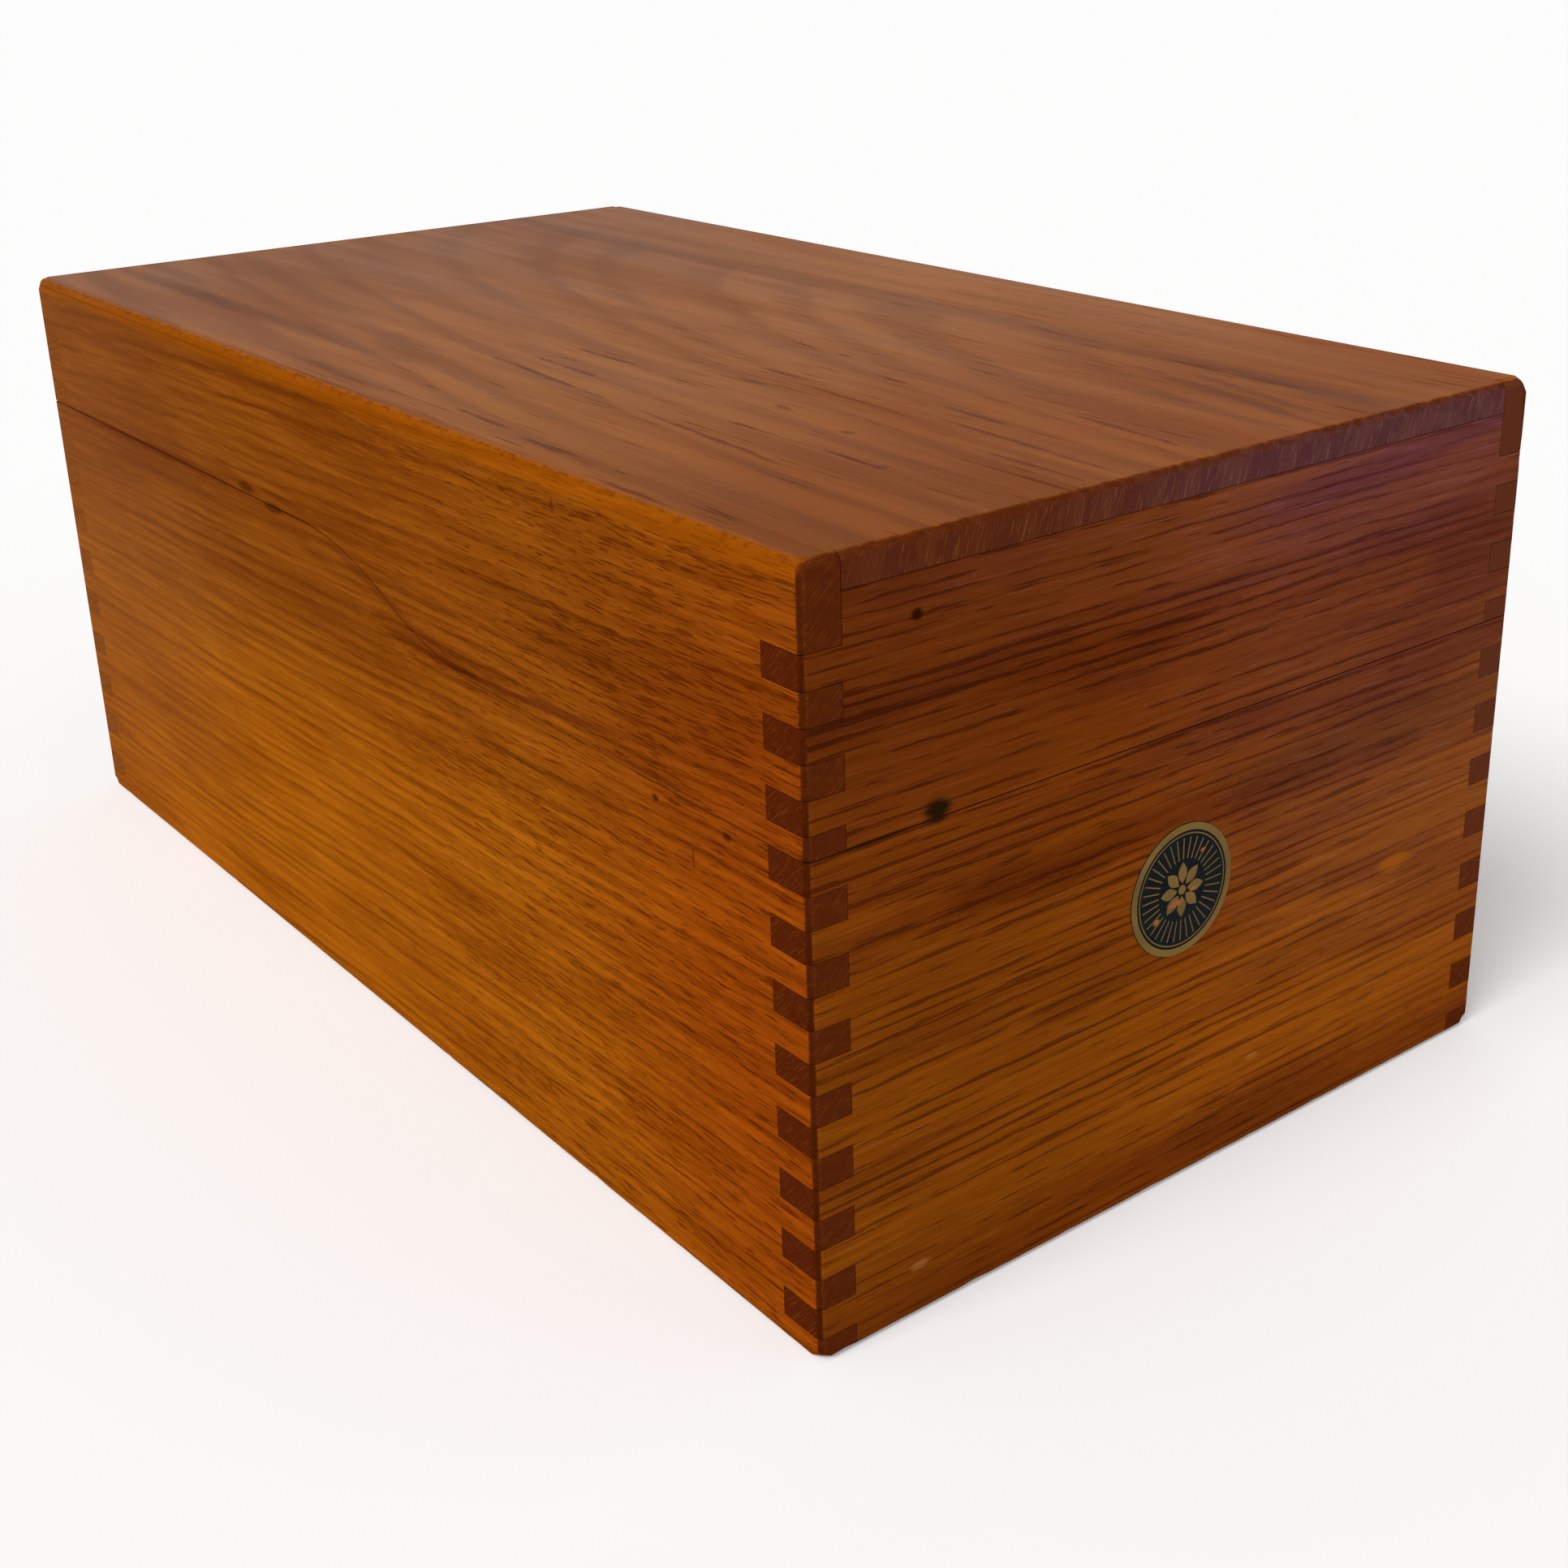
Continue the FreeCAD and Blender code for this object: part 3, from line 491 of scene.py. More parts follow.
@dataclass(frozen=True)
class OakFinish:
    """Varnished oak, cut from its own part of a log; lengths in millimetres."""

    name: str
    grain: Grain
    pale: Colour
    deep: Colour
    red: Colour
    pore: Colour
    glint: Colour
    end: Colour
    inside: Colour
    shift: Triple
    pith: Triple
    ring_width: float
    taper: float
    waviness: float
    row_pull: float
    line_share: float
    line_size: Triple
    dash_share: float
    dash_size: Triple
    band_size: Triple
    fibre_size: Triple
    cloud_size: Triple
    scratch_way: Triple
    tilt: float = 0.0
    band_share: float = 0.5
    fibre_share: float = 0.4
    early_share: float = 0.25
    early_fade: Pair | None = None
    red_share: float = 0.5
    pore_share: float = 0.8
    pore_fade: Pair | None = None
    glint_share: float = 0.3
    scratch_share: float = 0.25
    roughness: float = 0.3
    specular: float = 0.0
    wear_share: float = 0.5
    wear_start: float = 0.5
    knock_size: Triple = (3.2, 3.2, 3.2)
    marks: tuple[Mark, ...] = ()

    inside_span: Pair = (3.0, 5.0)
    inside_share: float = 0.5
    arris_span: Pair = (0.2, 1.7)
    wear_rise: float = 0.16
    end_span: Pair = (0.35, 0.65)
    band_span: Pair = (0.34, 0.66)
    fibre_span: Pair = (0.3, 0.7)
    cloud_span: Pair = (0.46, 0.64)
    glint_span: Pair = (0.30, 0.38)
    speckle_size: Triple = (0.6, 0.6, 0.6)
    speckle_span: Pair = (0.35, 0.7)
    speckle_share: float = 0.5
    end_ring_share: float = 0.15
    scratch_cover: float = 0.17
    ragged_size: Triple = (7.0, 1.5, 1.5)
    gloss_tint: Colour = (1.0, 0.55, 0.2)
    cloud_dull: float = 0.25
    pore_dull: float = 0.15
    end_dull: float = 0.12
    inside_dull: float = 0.2
    arris_dull: float = 0.3
    fibre_height: float = 0.3
    wear_height: float = -0.8
    bump_depth: float = 0.0002
    bump_share: float = 0.5

    def material(self, shell: Shell) -> bpy.types.Material:
        """Build the finish.

        Args:
            shell: the outside of the box, which says where the arrises and the inside are.

        Returns:
            The material.
        """
        material = bpy.data.materials.new(self.name)
        material.use_nodes = True
        graph = Graph(material.node_tree)
        shader = material.node_tree.nodes["Principled BSDF"]
        coordinates = graph.add("ShaderNodeTexCoord").outputs
        place = graph.scaled(coordinates["Object"], 1 / MM)
        axes = graph.parts(place)
        own = graph.vector("ADD", graph.joined(*(axes[axis] for axis in self.grain.value)), self.shift)
        along = graph.parts(coordinates["Normal"])[self.grain.value[0]]
        figure = self._figure(graph, own)
        pores = self._faded(graph, figure["Pores"], axes[self.grain.value[0]], self.pore_fade)
        early = self._faded(graph, figure["Early"], axes[self.grain.value[1]], self.early_fade)
        reach = ShellDistance().place(graph, {
            "Position": place,
            "Middle": [length / MM for length in shell.middle],
            "Half": [length / MM for length in shell.half],
        })
        inner = graph.ramp(reach["Depth"], *self.inside_span)
        outer = graph.math("SUBTRACT", 1.0, inner)
        end_mask = graph.ramp(graph.math("ABSOLUTE", along), *self.end_span)
        edge = graph.math("SUBTRACT", 1.0, graph.ramp(reach["Arris"], *self.arris_span))
        wear_full = self.wear_start + self.wear_rise
        knocks = graph.ramp(graph.noise(place, self.knock_size, detail=3.0), self.wear_start, wear_full)
        worn = graph.math("MULTIPLY", graph.math("MULTIPLY", edge, knocks), outer)

        colour = self._marked(graph, self._wood(graph, figure, pores, early), place, own, on_ends=False)
        ends = self._marked(graph, self._end_grain(graph, place, figure), place, own, on_ends=True)
        colour = graph.mix(end_mask, colour, ends)
        colour = graph.mix(graph.math("MULTIPLY", inner, self.inside_share), colour, self.inside)
        colour = graph.mix(graph.math("MULTIPLY", worn, self.wear_share), colour, self.pore)

        dull = graph.total(
            (figure["Cloud"], self.cloud_dull), (pores, self.pore_dull), (end_mask, self.end_dull),
            (inner, self.inside_dull), (edge, self.arris_dull))
        height = graph.total((pores, -1.0), (figure["Fibre"], self.fibre_height), (worn, self.wear_height))
        bump = graph.add("ShaderNodeBump", {
            "Strength": self.bump_share, "Distance": self.bump_depth, "Height": height})
        graph.feed(shader.inputs["Base Color"], colour)
        graph.feed(shader.inputs["Roughness"], graph.math("ADD", dull, self.roughness))
        graph.feed(shader.inputs["Normal"], bump.outputs["Normal"])
        shader.inputs["Specular IOR Level"].default_value = self.specular
        shader.inputs["Specular Tint"].default_value = (*self.gloss_tint, 1.0)
        return material

    def _figure(self, graph: Graph, own: Socket) -> bpy.types.NodeOutputs:
        """Look up the oak at a place in the board's own axes."""
        return OakFigure().place(graph, {
            "Position": own,
            "Pith": Vector(self.pith) + Vector(self.shift),
            "Ring Width": self.ring_width,
            "Taper": self.taper,
            "Tilt": self.tilt,
            "Waviness": self.waviness,
            "Row Pull": self.row_pull,
            "Line Share": self.line_share,
            "Line Size": self.line_size,
            "Dash Share": self.dash_share,
            "Dash Size": self.dash_size,
            "Band Size": self.band_size,
            "Fibre Size": self.fibre_size,
            "Cloud Size": self.cloud_size,
        })

    def _faded(self, graph: Graph, mask: Socket, along: Socket, fade: Pair | None) -> Socket:
        """Fade a mask out along one axis of the board, or leave it as it is."""
        if fade is None:
            return mask
        return graph.math("MULTIPLY", mask, graph.math("SUBTRACT", 1.0, graph.ramp(along, *fade)))

    def _wood(self, graph: Graph, figure: bpy.types.NodeOutputs, pores: Socket, early: Socket) -> Socket:
        """The colour of a face along the grain."""
        bands = graph.ramp(figure["Band"], *self.band_span)
        fibres = graph.ramp(figure["Fibre"], *self.fibre_span)
        tone = graph.total((bands, self.band_share), (fibres, self.fibre_share), (early, self.early_share))
        colour = graph.mix(graph.math("MINIMUM", tone, 1.0), self.pale, self.deep)
        warm = graph.math("MULTIPLY", graph.ramp(figure["Cloud"], *self.cloud_span), self.red_share)
        colour = graph.mix(warm, colour, self.red)
        # Pale streaks along the fibres: painted glints, a painted highlight laid into the base colour.
        gleam = graph.math("SUBTRACT", 1.0, graph.ramp(figure["Fibre"], *self.glint_span))
        colour = graph.mix(graph.math("MULTIPLY", gleam, self.glint_share), colour, self.glint)
        return graph.mix(graph.math("MULTIPLY", pores, self.pore_share), colour, self.pore)

    def _end_grain(self, graph: Graph, place: Socket, figure: bpy.types.NodeOutputs) -> Socket:
        """The colour of a face across the grain: dark, speckled and scratched."""
        feeds = {"Position": place, "Way": self.scratch_way, "Share": self.scratch_cover}
        scratched = Scratches().place(graph, feeds)["Mask"]
        speckle = graph.ramp(graph.noise(place, self.speckle_size, detail=2.0), *self.speckle_span)
        ends = graph.mix(graph.math("MULTIPLY", speckle, self.speckle_share), self.end, self.pore)
        ends = graph.mix(graph.math("MULTIPLY", figure["Early"], self.end_ring_share), ends, self.red)
        return graph.mix(graph.math("MULTIPLY", scratched, self.scratch_share), ends, self.pale)

    def _marked(self, graph: Graph, colour: Socket, place: Socket, own: Socket, on_ends: bool) -> Socket:
        """Lay the marks over a colour, their edges drawn out along the grain.

        Args:
            graph: the material's tree.
            colour: the wood underneath.
            place: where to look, in the box's axes.
            own: where to look, in the board's axes.
            on_ends: whether to lay the marks of the end grain, or those of the other faces.

        Returns:
            The marked colour.
        """
        marks = [mark for mark in self.marks if mark.on_ends == on_ends]
        if not marks:
            return colour
        rough = graph.math("SUBTRACT", graph.noise(own, self.ragged_size, detail=2.0), 0.5)
        for mark in marks:
            mask = Patch().place(graph, {
                "Position": place,
                "Centre": mark.centre,
                "Reach": mark.reach,
                "Axis": self.grain.through(),
                "Turn": mark.turn,
                "Wobble": graph.math("MULTIPLY", rough, mark.ragged),
            })["Mask"]
            share = graph.math("MULTIPLY", mask, mark.strength)
            colour = graph.mix(share, colour, mark.colour, mark.lay.value)
        return colour


@dataclass(frozen=True)
class PlainFinish:
    """Metal, transfer ink or old grime with a little unevenness; lengths in millimetres."""

    name: str
    colour: Colour
    dark: Colour
    metallic: float
    roughness: float
    uneven: Triple
    specular: float = 0.3
    broad_size: Triple = (9.0, 9.0, 9.0)
    flakes: tuple[Mark, ...] = ()

    broad_span: Pair = (0.4, 0.68)
    fine_span: Pair = (0.5, 0.8)
    broad_share: float = 0.7
    fine_share: float = 0.3
    rough_swing: float = 0.2
    bump_share: float = 0.4
    bump_depth: float = 0.00004

    def material(self) -> bpy.types.Material:
        """Build the finish and return the material."""
        material = bpy.data.materials.new(self.name)
        material.use_nodes = True
        graph = Graph(material.node_tree)
        shader = material.node_tree.nodes["Principled BSDF"]
        place = graph.scaled(graph.add("ShaderNodeTexCoord").outputs["Object"], 1 / MM)
        fine = graph.noise(place, self.uneven, detail=3.0)
        broad = graph.noise(place, self.broad_size, detail=2.0)
        tarnish = graph.total((graph.ramp(broad, *self.broad_span), self.broad_share),
                              (graph.ramp(fine, *self.fine_span), self.fine_share))
        colour = graph.mix(tarnish, self.colour, self.dark)
        for flake in self.flakes:
            wobble = graph.math("MULTIPLY", graph.math("SUBTRACT", fine, 0.5), flake.ragged)
            mask = Patch().place(graph, {
                "Position": place,
                "Centre": flake.centre,
                "Reach": flake.reach,
                "Wobble": wobble,
            })["Mask"]
            colour = graph.mix(graph.math("MULTIPLY", mask, flake.strength), colour, flake.colour)
        graph.feed(shader.inputs["Base Color"], colour)
        graph.feed(shader.inputs["Roughness"], graph.total((fine, self.rough_swing), (1.0, self.roughness)))
        bump = graph.add("ShaderNodeBump", {
            "Strength": self.bump_share, "Distance": self.bump_depth, "Height": fine})
        graph.feed(shader.inputs["Normal"], bump.outputs["Normal"])
        shader.inputs["Metallic"].default_value = self.metallic
        shader.inputs["Specular IOR Level"].default_value = self.specular
        return material


LID_HEIGHT = 144.0
STREAK_DEPTH = 3.0
STREAK_RAGGED = 1.5
STREAK_STRENGTH = 0.75
DASH_HALF_WIDTH = 0.9
OAK_INSIDE: Colour = (0.40, 0.165, 0.045)
# Near-black: grime in corners and cracks, and painted shade along the parting line between lid and base.
GRIME_AND_SHADE: Colour = (0.045, 0.009, 0.002)
SCUFF: Colour = (0.50, 0.22, 0.05)
UMBER: Colour = (0.13, 0.023, 0.004)
RUSSET: Colour = (0.17, 0.045, 0.010)
BROWN: Colour = (0.74, 0.71, 0.68)
NEAR_CORNER = Mark((-89.6, -164.6, 68.0), (0.8, 0.8, 300.0), GRIME_AND_SHADE, 0.6, ragged=0.6)
TOP_DASHES = (
    ((4.4, -52.0), (4.4, -61.0)), ((4.0, -115.0), (0.0, -166.0)), ((-2.0, -70.0), (-3.5, -92.0)),
    ((-10.0, -105.0), (-11.5, -127.0)), ((-15.0, -50.0), (-16.0, -75.0)), ((-16.0, -97.0), (-20.0, -166.0)),
    ((-24.0, -57.0), (-24.5, -70.0)), ((-26.6, -130.0), (-27.5, -166.0)), ((-32.7, -5.0), (-33.5, -45.0)),
    ((-32.8, -80.0), (-33.2, -90.0)), ((-46.5, -85.0), (-47.0, -97.0)), ((-46.6, -110.0), (-47.4, -135.0)),
    ((-44.0, -10.0), (-45.5, -47.0)), ((-50.0, 5.0), (-54.5, -62.0)), ((-54.5, -66.0), (-58.7, -127.0)),
    ((-79.7, -42.0), (-80.3, -65.0)), ((-81.6, -67.0), (-82.2, -90.0)), ((-86.7, -100.0), (-87.2, -130.0)),
)


def shade(centre: Triple, reach: Triple, colour: Colour, ragged: float = 0.0) -> Mark:
    """A soft tint that the figure shows through. Most lay the wood's own tone; some are painted reflection or
    painted shade, as noted where they are laid.

    Args:
        centre: its middle.
        reach: how far it goes from there.
        colour: what it leaves of the wood's colour.
        ragged: how uneven its edge is.

    Returns:
        The mark.
    """
    return Mark(centre, reach, colour, strength=1.0, ragged=ragged, lay=Lay.STAIN)


def streak(start: Pair, end: Pair, half_width: float, colour: Colour) -> Mark:
    """A thin mark along a straight line on the lid's upper face.

    Args:
        start: where it begins, as X and Y.
        end: where it ends, as X and Y.
        half_width: how far it goes to either side.
        colour: its colour.

    Returns:
        The mark.
    """
    run = Vector(end) - Vector(start)
    middle = (Vector(end) + Vector(start)) / 2
    reach = (half_width, run.length / 2, STREAK_DEPTH)
    turn = math.atan2(-run.x, -run.y)
    return Mark((*middle, LID_HEIGHT), reach, colour, STREAK_STRENGTH, turn, STREAK_RAGGED)


def both(mark: Mark) -> tuple[Mark, Mark]:
    """The same mark on the faces along the grain and on the end grain."""
    return mark, replace(mark, on_ends=True)


SIDE_OAK = OakFinish(
    name="oak_side", grain=Grain.SIDE, pale=(0.44, 0.126, 0.005), deep=(0.21, 0.049, 0.002),
    red=(0.20, 0.041, 0.0015), pore=(0.11, 0.017, 0.001), glint=(0.58, 0.20, 0.010),
    end=(0.112, 0.021, 0.005), inside=OAK_INSIDE,
    shift=(13.0, 240.0, 31.0), pith=(0.0, 175.0, -62.0), ring_width=2.7, taper=-0.035,
    waviness=7.0, row_pull=0.05, line_share=0.02, line_size=(20.0, 1.0, 1.0), dash_share=0.17,
    dash_size=(6.0, 0.4, 0.4), band_size=(50.0, 2.2, 2.2), fibre_size=(14.0, 0.45, 0.45),
    cloud_size=(75.0, 12.0, 12.0), scratch_way=(1.0, 0.0, 1.0), band_share=0.35, fibre_share=0.3,
    early_share=0.38, red_share=0.35, pore_share=0.65, pore_fade=(-100.0, 40.0), wear_share=0.35,
    marks=(
        *both(NEAR_CORNER),
        shade((-90.0, 60.0, 118.0), (14.0, 330.0, 62.0), (0.70, 0.63, 0.95)),
        # Bluer towards the far end of the side: painted reflection, the haze on the far part of the face.
        shade((-90.0, 140.0, 108.0), (14.0, 200.0, 75.0), (0.97, 1.06, 1.35)),
        shade((-90.0, -190.0, 60.0), (14.0, 120.0, 140.0), (0.83, 0.58, 0.60)),
        # A soft darker band along the far part of the parting line between lid and base: painted shade of the
        # gap.
        shade((-90.0, 110.0, 109.0), (14.0, 130.0, 8.0), (0.82, 0.75, 0.80)),
        # A pale cover over the far end of the side: painted reflection, the haze there.
        Mark((-90.0, 205.0, 90.0), (14.0, 180.0, 130.0), (0.26, 0.085, 0.03), 0.35, ragged=0.0),
        Mark((-90.0, -40.0, 142.5), (6.0, 420.0, 3.0), (0.36, 0.085, 0.001), 0.5, ragged=0.6),
        # Purple-brown on the end grain at the right of the front: painted reflection, the same sheen as on the
        # front's upper right.
        Mark((90.0, -165.0, 110.0), (40.0, 20.0, 110.0), (0.15, 0.04, 0.018), 0.8, on_ends=True),
        # From here to the near end, the dark lines, dots and soft band along the parting line between lid and
        # base are painted shade in the gap between them.
        Mark((-90.0, 92.0, 111.4), (3.0, 80.0, 1.3), UMBER, 0.6),
        Mark((-90.0, 40.6, 113.2), (3.0, 6.0, 1.6), GRIME_AND_SHADE, 0.6),
        Mark((-90.0, 26.2, 111.2), (3.0, 7.0, 1.5), GRIME_AND_SHADE, 0.6),
        shade((-90.0, -50.0, 97.0), (3.0, 40.0, 4.5), (0.75, 0.66, 0.7), ragged=1.0),
        Mark((-90.0, -24.0, 103.6), (3.0, 34.0, 1.6), UMBER, 0.5, turn=-0.25, ragged=1.0),
        Mark((-90.0, -56.0, 96.4), (3.0, 9.0, 1.0), GRIME_AND_SHADE, 0.6),
        Mark((-90.0, -92.0, 98.6), (3.0, 42.0, 1.3), UMBER, 0.6, turn=0.085, ragged=1.2),
        Mark((-90.0, -110.0, 96.0), (3.0, 30.0, 0.8), UMBER, 0.5, turn=0.02, ragged=1.2),
        Mark((-90.0, -122.6, 92.2), (3.0, 1.4, 1.0), GRIME_AND_SHADE),
        Mark((-90.0, -143.7, 92.2), (3.0, 1.6, 0.9), GRIME_AND_SHADE),
        Mark((-90.0, -133.4, 84.4), (3.0, 0.5, 2.6), UMBER, 0.7),
        Mark((-90.0, -94.6, 137.7), (3.0, 1.1, 1.6), UMBER),
        Mark((-90.0, -110.0, 139.5), (3.0, 1.4, 0.8), UMBER),
    ))
END_OAK = OakFinish(
    name="oak_end", grain=Grain.END, pale=(0.40, 0.103, 0.004), deep=(0.25, 0.056, 0.002),
    red=(0.16, 0.030, 0.004), pore=(0.085, 0.014, 0.0015), glint=(0.46, 0.15, 0.02),
    end=(0.082, 0.011, 0.0008), inside=OAK_INSIDE,
    shift=(410.0, 77.0, 9.0), pith=(0.0, -300.0, 60.0), ring_width=2.1, taper=0.003,
    waviness=2.8, row_pull=0.25, line_share=0.04, line_size=(20.0, 0.65, 0.65), dash_share=0.05,
    dash_size=(10.0, 0.45, 0.45), band_size=(40.0, 1.6, 1.6), fibre_size=(12.0, 0.5, 0.5),
    cloud_size=(65.0, 9.0, 9.0), scratch_way=(0.0, -1.0, 1.0), band_share=0.3, red_share=0.4, pore_share=0.62,
    pore_fade=(0.0, 170.0), specular=0.006,
    marks=(
        *both(NEAR_CORNER),
        shade((0.0, -165.0, 160.0), (400.0, 12.0, 130.0), (0.60, 0.48, 0.90)),
        shade((0.0, -165.0, -4.0), (400.0, 12.0, 24.0), (0.65, 0.55, 0.60), ragged=0.5),
        # These two tints lift the blue over the upper right of the front: painted reflection, a purple sheen.
        shade((20.0, -165.0, 150.0), (130.0, 12.0, 40.0), (1.12, 1.35, 3.2), ragged=0.3),
        shade((75.0, -165.0, 102.0), (110.0, 12.0, 90.0), (0.95, 1.08, 4.4), ragged=0.3),
        shade((-70.0, -165.0, 125.0), (70.0, 12.0, 45.0), (0.84, 0.84, 1.2)),
        shade((-60.0, -165.0, 35.0), (75.0, 12.0, 60.0), (0.80, 0.79, 0.75)),
        shade((-25.0, -165.0, 115.0), (40.0, 12.0, 5.0), (0.8, 0.72, 0.75), ragged=1.0),
        shade((-20.0, -165.0, 78.0), (70.0, 12.0, 6.0), (0.75, 0.66, 0.7), ragged=1.0),
        shade((50.0, -165.0, 80.0), (60.0, 12.0, 8.0), (0.75, 0.78, 1.0), ragged=0.5),
        # Near-black spots for a small hole and a gouge, which are not modelled: painted shade in them.
        Mark((-67.1, -165.0, 130.9), (1.7, 3.0, 1.5), (0.02, 0.004, 0.001), 0.9, ragged=0.4),
        Mark((-63.1, -165.0, 96.6), (4.0, 3.0, 3.0), (0.012, 0.007, 0.002), 0.95),
        Mark((-77.0, -165.0, 95.1), (14.0, 3.0, 0.5), GRIME_AND_SHADE, 0.8),
        Mark((18.0, -165.0, 19.3), (2.2, 3.0, 0.9), SCUFF, 0.4),
        Mark((-67.5, -165.0, 10.3), (3.0, 3.0, 1.1), SCUFF, 0.4),
        Mark((59.4, -165.0, 49.0), (7.0, 3.0, 2.6), (0.46, 0.13, 0.004), 0.6),
    ))
# The back boards' end grain is about as pale as the side faces, so that the far fingers melt into the haze there:
# painted reflection.
BACK_OAK = replace(END_OAK, name="oak_back", end=(0.26, 0.074, 0.007), marks=())
TOP_OAK = OakFinish(
    name="oak_top", grain=Grain.PANEL, pale=(0.385, 0.128, 0.024), deep=(0.265, 0.083, 0.016),
    red=(0.265, 0.075, 0.015), pore=(0.09, 0.018, 0.002), glint=(0.42, 0.142, 0.028),
    end=(0.12, 0.024, 0.009), inside=OAK_INSIDE,
    shift=(77.0, 130.0, 55.0), pith=(0.0, 58.0, 84.0), ring_width=10.0, taper=0.0, tilt=0.25,
    waviness=10.0, row_pull=0.04, line_share=-0.1, line_size=(30.0, 0.7, 0.7), dash_share=0.09,
    dash_size=(22.0, 0.7, 0.7), band_size=(110.0, 6.0, 6.0), fibre_size=(40.0, 0.7, 0.7),
    cloud_size=(120.0, 20.0, 20.0), scratch_way=(0.3, 0.0, 1.0), early_share=0.6, early_fade=(42.0, 58.0),
    red_share=0.4, pore_share=0.5, pore_fade=(-60.0, 70.0), glint_share=0.15, roughness=0.2, specular=0.012,
    scratch_share=0.5, wear_share=0.85, wear_start=0.42, knock_size=(1.8, 1.8, 1.8),
    marks=(
        *both(Mark((0.0, -164.7, 143.7), (300.0, 1.3, 1.3), UMBER, 0.7, ragged=1.6)),
        # Darker and bluer at the back of the lid's top, warmer at its front: colour painted for the reflection on
        # the top, which grows towards the back.
        shade((0.0, 200.0, 144.0), (300.0, 200.0, 9.0), (0.85, 0.88, 1.2)),
        shade((0.0, -190.0, 144.0), (300.0, 150.0, 9.0), (0.88, 0.71, 0.33)),
        shade((-60.0, -150.0, 144.0), (45.0, 60.0, 9.0), (0.88, 0.85, 0.8)),
        shade((52.0, 0.0, 144.0), (7.0, 420.0, 3.0), BROWN, ragged=0.6),
        shade((-68.0, 95.0, 144.0), (4.5, 105.0, 3.0), BROWN, ragged=0.8),
        Mark((-61.0, 14.0, 144.0), (7.0, 26.0, 3.0), (0.20, 0.062, 0.014), 0.5, turn=0.3, ragged=1.0),
        streak((43.0, -94.0), (30.0, -162.0), 2.8, RUSSET),
        streak((46.0, -110.0), (34.0, -168.0), 1.9, RUSSET),
        streak((39.0, -122.0), (29.0, -168.0), 1.5, RUSSET),
        streak((52.0, -100.0), (50.0, -172.0), 3.0, RUSSET),
        *(streak(start, end, DASH_HALF_WIDTH, UMBER) for start, end in TOP_DASHES),
        Mark((-88.0, 5.0, 144.0), (0.7, 62.0, 3.0), GRIME_AND_SHADE, 0.7, ragged=1.4),
        Mark((-90.0, 0.0, 144.0), (3.0, 420.0, 3.0), (0.36, 0.088, 0.002), 0.9, ragged=1.6),
        shade((-82.0, 0.0, 144.0), (3.0, 34.0, 3.0), BROWN, ragged=0.8),
        # A bluer tint on the right of the lid's front edge: painted reflection, the purple sheen of the front.
        replace(
            shade((60.0, -165.0, 141.0), (110.0, 12.0, 30.0), (0.95, 1.35, 4.4), ragged=0.4), on_ends=True),
        Mark((50.0, -135.0, 144.0), (2.0, 8.0, 3.0), UMBER, 0.6),
        Mark((-36.0, -109.0, 144.0), (1.6, 2.0, 3.0), UMBER, 0.6),
        Mark((-46.8, -131.6, 144.0), (1.6, 2.2, 3.0), UMBER, 0.6),
    ))
BOTTOM_OAK = OakFinish(
    name="oak_bottom", grain=Grain.PANEL, pale=(0.36, 0.15, 0.045), deep=(0.24, 0.09, 0.022),
    red=(0.22, 0.075, 0.02), pore=(0.09, 0.026, 0.006), glint=(0.42, 0.19, 0.07), end=(0.16, 0.05, 0.012),
    inside=OAK_INSIDE, shift=(700.0, 30.0, 12.0), pith=(0.0, -15.0, -40.0), ring_width=5.5, taper=0.02,
    waviness=9.0, row_pull=0.1, line_share=0.03, line_size=(25.0, 0.7, 0.7), dash_share=0.09,
    dash_size=(8.0, 0.5, 0.5), band_size=(90.0, 5.0, 5.0), fibre_size=(25.0, 0.5, 0.5),
    cloud_size=(75.0, 15.0, 15.0), scratch_way=(1.0, 0.0, 1.0), roughness=0.45)
BLOCK_OAK = OakFinish(
    name="oak_block", grain=Grain.END, pale=(0.40, 0.125, 0.016), deep=(0.25, 0.066, 0.007),
    red=(0.20, 0.045, 0.005), pore=(0.09, 0.016, 0.002), glint=(0.46, 0.17, 0.03), end=(0.15, 0.036, 0.007),
    inside=(0.36, 0.11, 0.014), shift=(55.0, 410.0, 260.0), pith=(0.0, 30.0, 70.0), ring_width=4.2,
    taper=0.01, waviness=8.0, row_pull=0.1, line_share=0.03, line_size=(22.0, 0.7, 0.7), dash_share=0.1,
    dash_size=(7.0, 0.5, 0.5), band_size=(60.0, 4.0, 4.0), fibre_size=(20.0, 0.5, 0.5),
    cloud_size=(75.0, 15.0, 15.0), scratch_way=(0.0, -1.0, 1.0))
# Near-black in the eased edges: real grime in the glue joints, and painted shade of the gap at the parting line
# between lid and base.
JOINT_GRIME_AND_GAP_SHADE = PlainFinish(
    "joint_grime", (0.05, 0.011, 0.002), (0.03, 0.007, 0.002), 0.0, 0.6, (2.0, 2.0, 2.0), specular=0.0)
HINGE_BRASS = PlainFinish(
    "hinge_brass", (0.52, 0.35, 0.12), (0.26, 0.16, 0.05), 1.0, 0.3, (6.0, 0.4, 0.4))
SCREW_BRASS = PlainFinish(
    "screw_brass", (0.50, 0.33, 0.11), (0.22, 0.13, 0.04), 1.0, 0.32, (0.5, 0.5, 0.5))
PIN_STEEL = PlainFinish(
    "pin_steel", (0.48, 0.47, 0.45), (0.30, 0.29, 0.27), 1.0, 0.28, (5.0, 0.3, 0.3))
TRACK_STEEL = PlainFinish(
    "track_steel", (0.42, 0.42, 0.41), (0.28, 0.275, 0.26), 1.0, 0.36, (0.4, 9.0, 0.4),
    broad_size=(12.0, 80.0, 12.0))


# Meshes

